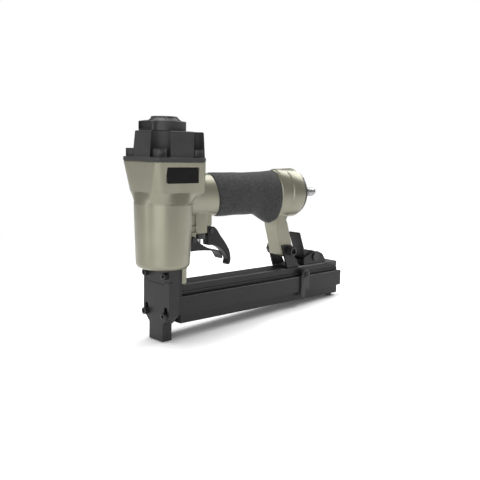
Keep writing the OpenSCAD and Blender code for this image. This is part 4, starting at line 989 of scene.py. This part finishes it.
class ScrewsOperator(bpy.types.Operator):
    """Makes the socket screws with knurled heads and hexagon sockets"""

    bl_idname = "nailer.screws"
    bl_label = "Screws"

    def execute(self, context):
        sizes = context.scene.nailer_sizes
        up, down, front, rear = (0, 0, 1), (0, 0, -1), (0, -1, 0), (0, 1, 0)
        right, left = (1, 0, 0), (-1, 0, 0)
        cap = [(sx * SCREW_X, y, FLANGE_Z) for sx in (-1, 1) for y in (SCREW_FRONT, SCREW_BACK)]
        nose = [(sx * 15.5, -8.0, z) for sx in (-1, 1) for z in (26.8, 66.1)]
        feet = [(sx * 7.8, FOOT_Y, 15.4) for sx in (-1, 1)]
        ring = [math.radians(a) for a in (45, 135, 225, 315)]
        end = [(22 * math.cos(a), BELL_END + 2.8, BELL_Z + 22 * math.sin(a)) for a in ring]
        for name, node, spots, directions, size in (
                ("cap_screws_fine", "head_cap_screws", cap, [up] * 4, (6.5, 8.0, 3.0, 4.0, 4.0, 21.9, 0.8)),
                ("crown_screw_fine", "deflector_screw", [(0, 0, DISC_TOP + CONE_H - 3)], [up],
                 (4.8, 2.8, 2.0, 1.5, 2.5, 16.3)),
                ("nose_screws_fine", "nose_screws", nose, [front] * 4, (3.5, 4.0, 1.5, 2.2, 2.0, 11.6)),
                ("bracket_bolt_fine", "bracket_bolt", [(12.1, *BOLT)], [right],
                 (5.0, 6.5, 3.0, 3.5, 3.0, 30.2)),
                ("clip_screws_fine", "clip_screws", [(19.1, 194.2, 45.6), (-19.1, 194.2, 45.6)],
                 [right, left], (3.4, 1.6, 1.3, 1.0, 1.5, 12.1, 0.4)),
                ("foot_screws_fine", "foot_screws", feet, [down] * 2, (3.5, 3.4, 1.5, 1.8, 1.5, 4.5, 0.5)),
                ("end_cap_screws_fine", "end_cap_screws", end, [rear] * 4,
                 (2.7, 2.6, 1.25, 1.3, 1.5, 8.8, 0.4))):
            points, faces = spun(socket_head(*size), 144, sizes.knurls, sizes.knurl_depth / MM)
            nets = [(turned_to(points, way, spot), faces) for spot, way in zip(spots, directions)]
            piece(name, joined_nets(nets), "black_screw", node)
        return {"FINISHED"}


class EdgesOperator(bpy.types.Operator):
    """Rounds the edges of the milled, drawn and folded pieces"""

    bl_idname = "nailer.edges"
    bl_label = "Rounded edges"

    def execute(self, context):
        sizes = context.scene.nailer_sizes
        for node, slot in (
                ("nose_block", "nose_black"), ("front_plate", "nose_black"), ("end_cap", "end_cap"),
                ("magazine_body", "magazine_black"), ("magazine_cover", "magazine_black"),
                ("rear_bracket", "bracket_black"), ("latch_pin", "black_screw")):
            fine_copy(node, slot, sizes.edge_fine)
        # The clips take the lighter end cap coating as a painted highlight, standing in for the light along
        # their edges.
        fine_copy("cover_clips", "bracket_black", sizes.edge_fine, "end_cap")
        fine_copy("end_wedge", "wedge_plastic", sizes.edge_wedge)
        return {"FINISHED"}


class GripOperator(bpy.types.Operator):
    """Makes the foam sleeve with its rolled lips"""

    bl_idname = "nailer.grip"
    bl_label = "Foam grip"

    def execute(self, context):
        sizes = context.scene.nailer_sizes
        net = foam_net(sizes.foam_wall / MM, sizes.foam_sag / MM)
        foam = piece("foam_sleeve", net, "grip_foam", "grip_sleeve", math.radians(60))
        return {"FINISHED"}


class TurnedOperator(bpy.types.Operator):
    """Makes the turned air plug and the nut of the rear bracket"""

    bl_idname = "nailer.turned"
    bl_label = "Plug and nut"

    def execute(self, context):
        bore, root, hexagon = 3.2, 6.4, 8.3
        tip = PLUG_TIP - PLUG_Y
        base = BELL_END - 5 - PLUG_Y
        nose = tip - 10.7
        profile = [
            (0, base + 12), (bore, base + 12), (bore, base), (root - 0.5, base), (root, base + 0.5),
            (root, 0.02), (hexagon - 0.3, 0.02, 0.7), (hexagon, 0.5, 1), (hexagon, 5.5, 1),
            (hexagon - 0.3, 6.0, 0.7), (5.6, 6.05), (4.4, 6.5)]
        for low, high in ((nose - 10.2, nose - 7.2), (nose - 2.9, nose - 0.5)):
            profile += [(4.3, low - 0.8), (4.6, low - 0.4), (5.35, low), (5.5, low + 0.4), (5.5, high - 0.4),
                        (5.35, high), (4.5, high + 0.5)]
        profile += [
            (5.05, nose + 0.2), (5.2, nose + 0.6), (5.2, tip - 3.2), (5.0, tip - 2.4), (4.1, tip - 0.5),
            (3.8, tip), (3.5, tip), (bore, tip - 0.4), (bore, base + 14), (0, base + 14)]
        points, faces = spun(profile)
        net = turned_to(points, (0, 1, 0), (0, PLUG_Y, BELL_Z)), faces
        piece("air_plug_fine", net, "bright_steel", "air_plug", finish="plug")
        points, faces = spun([
            (0, 6.8), (3.1, 6.8), (3.1, 0), (4.7, 0.02), (5.2, 0.15, 0.7), (5.5, 0.5, 1), (5.5, 7.4, 1),
            (5.2, 7.9, 0.7), (4.4, 8.2), (0, 8.3)])
        net = turned_to(points, (-1, 0, 0), (-12.2, *BOLT)), faces
        piece("bracket_nut_fine", net, "black_screw", "bracket_nut")
        return {"FINISHED"}


class SpringsOperator(bpy.types.Operator):
    """Winds the springs in the boxes of their solids. Each lists the two bodies that it pushes apart, but is
    left on no body.
    """

    bl_idname = "nailer.springs"
    bl_label = "Springs"

    def execute(self, context):
        along, up = (0, 1, 0), (0, 0, 1)
        for node, run, wire, turns, steps, ends in (
                ("pusher_spring", along, 0.4, 46, 16, ("pusher", "cover")),
                ("head_valve_spring", up, 0.8, 5, 36, ("head_valve", "tool")),
                ("valve_spring", up, 0.4, 5, 24, ("valve_stem", "tool")),
                ("latch_spring", up, 0.5, 4, 24, ("tool", "latch"))):
            low, high = (np.array(corner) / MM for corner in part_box(node))
            start = np.where(run, low, (low + high) / 2)
            end = np.where(run, high, start)
            radius = (high[0] - low[0]) / 2 - wire
            points, faces = coil(radius, wire, turns, np.linalg.norm(end - start), steps)
            net = turned_to(points, run, start), faces
            spring = piece(node.replace("spring", "coil"), net, "spring_steel", node, rides=False)
            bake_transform(spring)
        return {"FINISHED"}


class LeversOperator(bpy.types.Operator):
    """Dresses the trigger, the safety lever and the latch with its housing"""

    bl_idname = "nailer.levers"
    bl_label = "Levers"

    def execute(self, context):
        for name, solid, low, high, step, slot, node in (
                ("trigger_moulded", trigger_solid, (-7, 27, 73), (7, 75, 102), 0.42, "lever_black",
                 "trigger"),
                ("safety_horn", safety_solid, (-5, 53, 65), (5, 88, 110), 0.42, "lever_black",
                 "safety_lever"),
                ("latch_cheeks", cheeks_solid, (-10, 199, 55), (10, 239, 71), 0.45, "bracket_black",
                 "latch_housing"),
                ("latch_thumb", latch_solid, (-9, 190, 47), (9, 230, 95), 0.45, "lever_black",
                 "latch_lever")):
            moulded(name, solid, low, high, step, slot, node)
        return {"FINISHED"}


class StageOperator(bpy.types.Operator):
    """Makes the camera, the soft lamps, the white surroundings and the floor"""

    bl_idname = "nailer.stage"
    bl_label = "Stage"

    def execute(self, context):
        stage = context.scene.nailer_stage
        context.scene.view_settings.view_transform = "Standard"
        self.add_camera(context.scene, stage)
        for name, place, width, height, watts in (
                ("key", (0.70, -0.89, 0.14), 0.90, 0.50, stage.key),
                ("top", (-0.20, -0.10, 1.28), 0.7, 0.7, stage.top),
                ("strip", (-0.25, -1.2, 0.3), 0.25, 0.9, stage.strip),
                ("back", (0.06, 0.82, 0.80), 0.75, 0.55, stage.back)):
            lamp = bpy.data.lights.new(name, "AREA")
            lamp.shape = "RECTANGLE"
            lamp.size = width
            lamp.size_y = height
            lamp.energy = watts
            obj = bpy.data.objects.new(name, lamp)
            context.scene.collection.objects.link(obj)
            obj.location = place
            obj.rotation_mode = "QUATERNION"
            obj.rotation_quaternion = (Vector((0.0, 0.1, 0.1)) - Vector(place)).to_track_quat("-Z", "Y")
        self.add_surroundings(context.scene, stage.ambient)
        self.add_floor(context.scene)
        return {"FINISHED"}

    def add_camera(self, scene, stage):
        camera = bpy.data.cameras.new("camera")
        camera.lens = stage.lens
        camera.sensor_width = 36.0
        camera.clip_start = 0.01
        camera.clip_end = 50.0
        eye = bpy.data.objects.new("camera", camera)
        scene.collection.objects.link(eye)
        ahead = (Vector(stage.camera_aim) - Vector(stage.camera_place)).normalized()
        level = ahead.cross(Vector((0, 0, 1))).normalized()
        up = level.cross(ahead) * math.cos(stage.camera_roll) + level * math.sin(stage.camera_roll)
        axes = Matrix((ahead.cross(up), up, -ahead)).transposed().to_4x4()
        eye.matrix_world = Matrix.Translation(stage.camera_place) @ axes
        scene.camera = eye

    def add_surroundings(self, scene, ambient):
        """White to the camera, and a weaker plain light to everything else."""
        scene.world = bpy.data.worlds.new("surroundings")
        n = Nodes(scene.world)
        strength = ambient + (1.0 - ambient) * n.add("ShaderNodeLightPath", output="Is Camera Ray")
        light = n.add("ShaderNodeBackground", None, {"Color": (1, 1, 1, 1), "Strength": strength})
        out = n.tree.nodes.new("ShaderNodeOutputWorld")
        n.tree.links.new(light.socket, out.inputs["Surface"])

    def add_floor(self, scene):
        """A floor through the nose's tip and the feet."""
        slope = FOOT_Z / (FOOT_Y - TIP_BACK_Y)
        reach = 6.0
        corners = [(sx * reach, sy * reach, (sy * reach / MM - TIP_BACK_Y) * slope * MM - 0.0002)
                   for sx, sy in ((-1, -1), (1, -1), (1, 1), (-1, 1))]
        mesh = bpy.data.meshes.new("floor")
        mesh.from_pydata(corners, [], [(0, 1, 2, 3)])
        floor = bpy.data.objects.new("floor", mesh)
        scene.collection.objects.link(floor)
        mesh.materials.append(self.floor_finish())

    def floor_finish(self):
        """White floor that keeps the shadow near the tool and melts into the white surroundings further off.
        To every ray but the camera's it is a plain matt floor with a faint glow."""
        f = Finish("floor_white")

        def matt(grey):
            return f.add("ShaderNodeBsdfDiffuse", None, {"Color": (grey, grey, grey, 1)})

        def glow(strength):
            return f.add("ShaderNodeEmission", None, {"Color": (1, 1, 1, 1), "Strength": strength})

        def sum_of(first, second):
            return f.add("ShaderNodeAddShader", None, {0: first, 1: second})

        half = matt(0.58)
        lifted = sum_of(sum_of(half, half), glow(0.02))
        away = f.add("ShaderNodeVectorMath", {"operation": "DISTANCE"}, {0: f.place, 1: (0.0, 0.12, 0.0)},
                     "Value")
        near = f.add("ShaderNodeMixShader", None, {0: f.ramp(away, 0.35, 0.7), 1: lifted, 2: glow(1.0)})
        path = f.add("ShaderNodeLightPath", output="Is Camera Ray")
        under = sum_of(matt(0.9), glow(0.22))
        return f.closed(f.add("ShaderNodeMixShader", None, {0: path, 1: under, 2: near}))


OPERATORS = (FinishesOperator, InnerOperator, CastingOperator, HeadOperator, ScrewsOperator, EdgesOperator,
             GripOperator, TurnedOperator, SpringsOperator, LeversOperator, StageOperator)
GROUPS = (NailerSizes, NailerColours, NailerStage)


class NailerPanel(bpy.types.Panel):
    """Sidebar panel with the nailer's sizes, colours and pieces"""

    bl_idname = "VIEW3D_PT_nailer"
    bl_label = "Nailer"
    bl_space_type = "VIEW_3D"
    bl_region_type = "UI"
    bl_category = "Nailer"

    def draw(self, context):
        scene = context.scene
        for settings in (scene.nailer_sizes, scene.nailer_colours, scene.nailer_stage):
            box = self.layout.box()
            for key in settings.__annotations__:
                box.prop(settings, key)
        for operator in OPERATORS:
            self.layout.operator(operator.bl_idname)


def register():
    for item in GROUPS + OPERATORS + (NailerPanel,):
        bpy.utils.register_class(item)
    bpy.types.Scene.nailer_sizes = PointerProperty(type=NailerSizes)
    bpy.types.Scene.nailer_colours = PointerProperty(type=NailerColours)
    bpy.types.Scene.nailer_stage = PointerProperty(type=NailerStage)


def unregister():
    for key in ("nailer_sizes", "nailer_colours", "nailer_stage"):
        delattr(bpy.types.Scene, key)
    for item in reversed(GROUPS + OPERATORS + (NailerPanel,)):
        bpy.utils.unregister_class(item)


def main():
    register()
    for operator in OPERATORS:
        group, name = operator.bl_idname.split(".")
        getattr(getattr(bpy.ops, group), name)()
    bpy.context.view_layer.update()


if __name__ == "__main__":
    main()
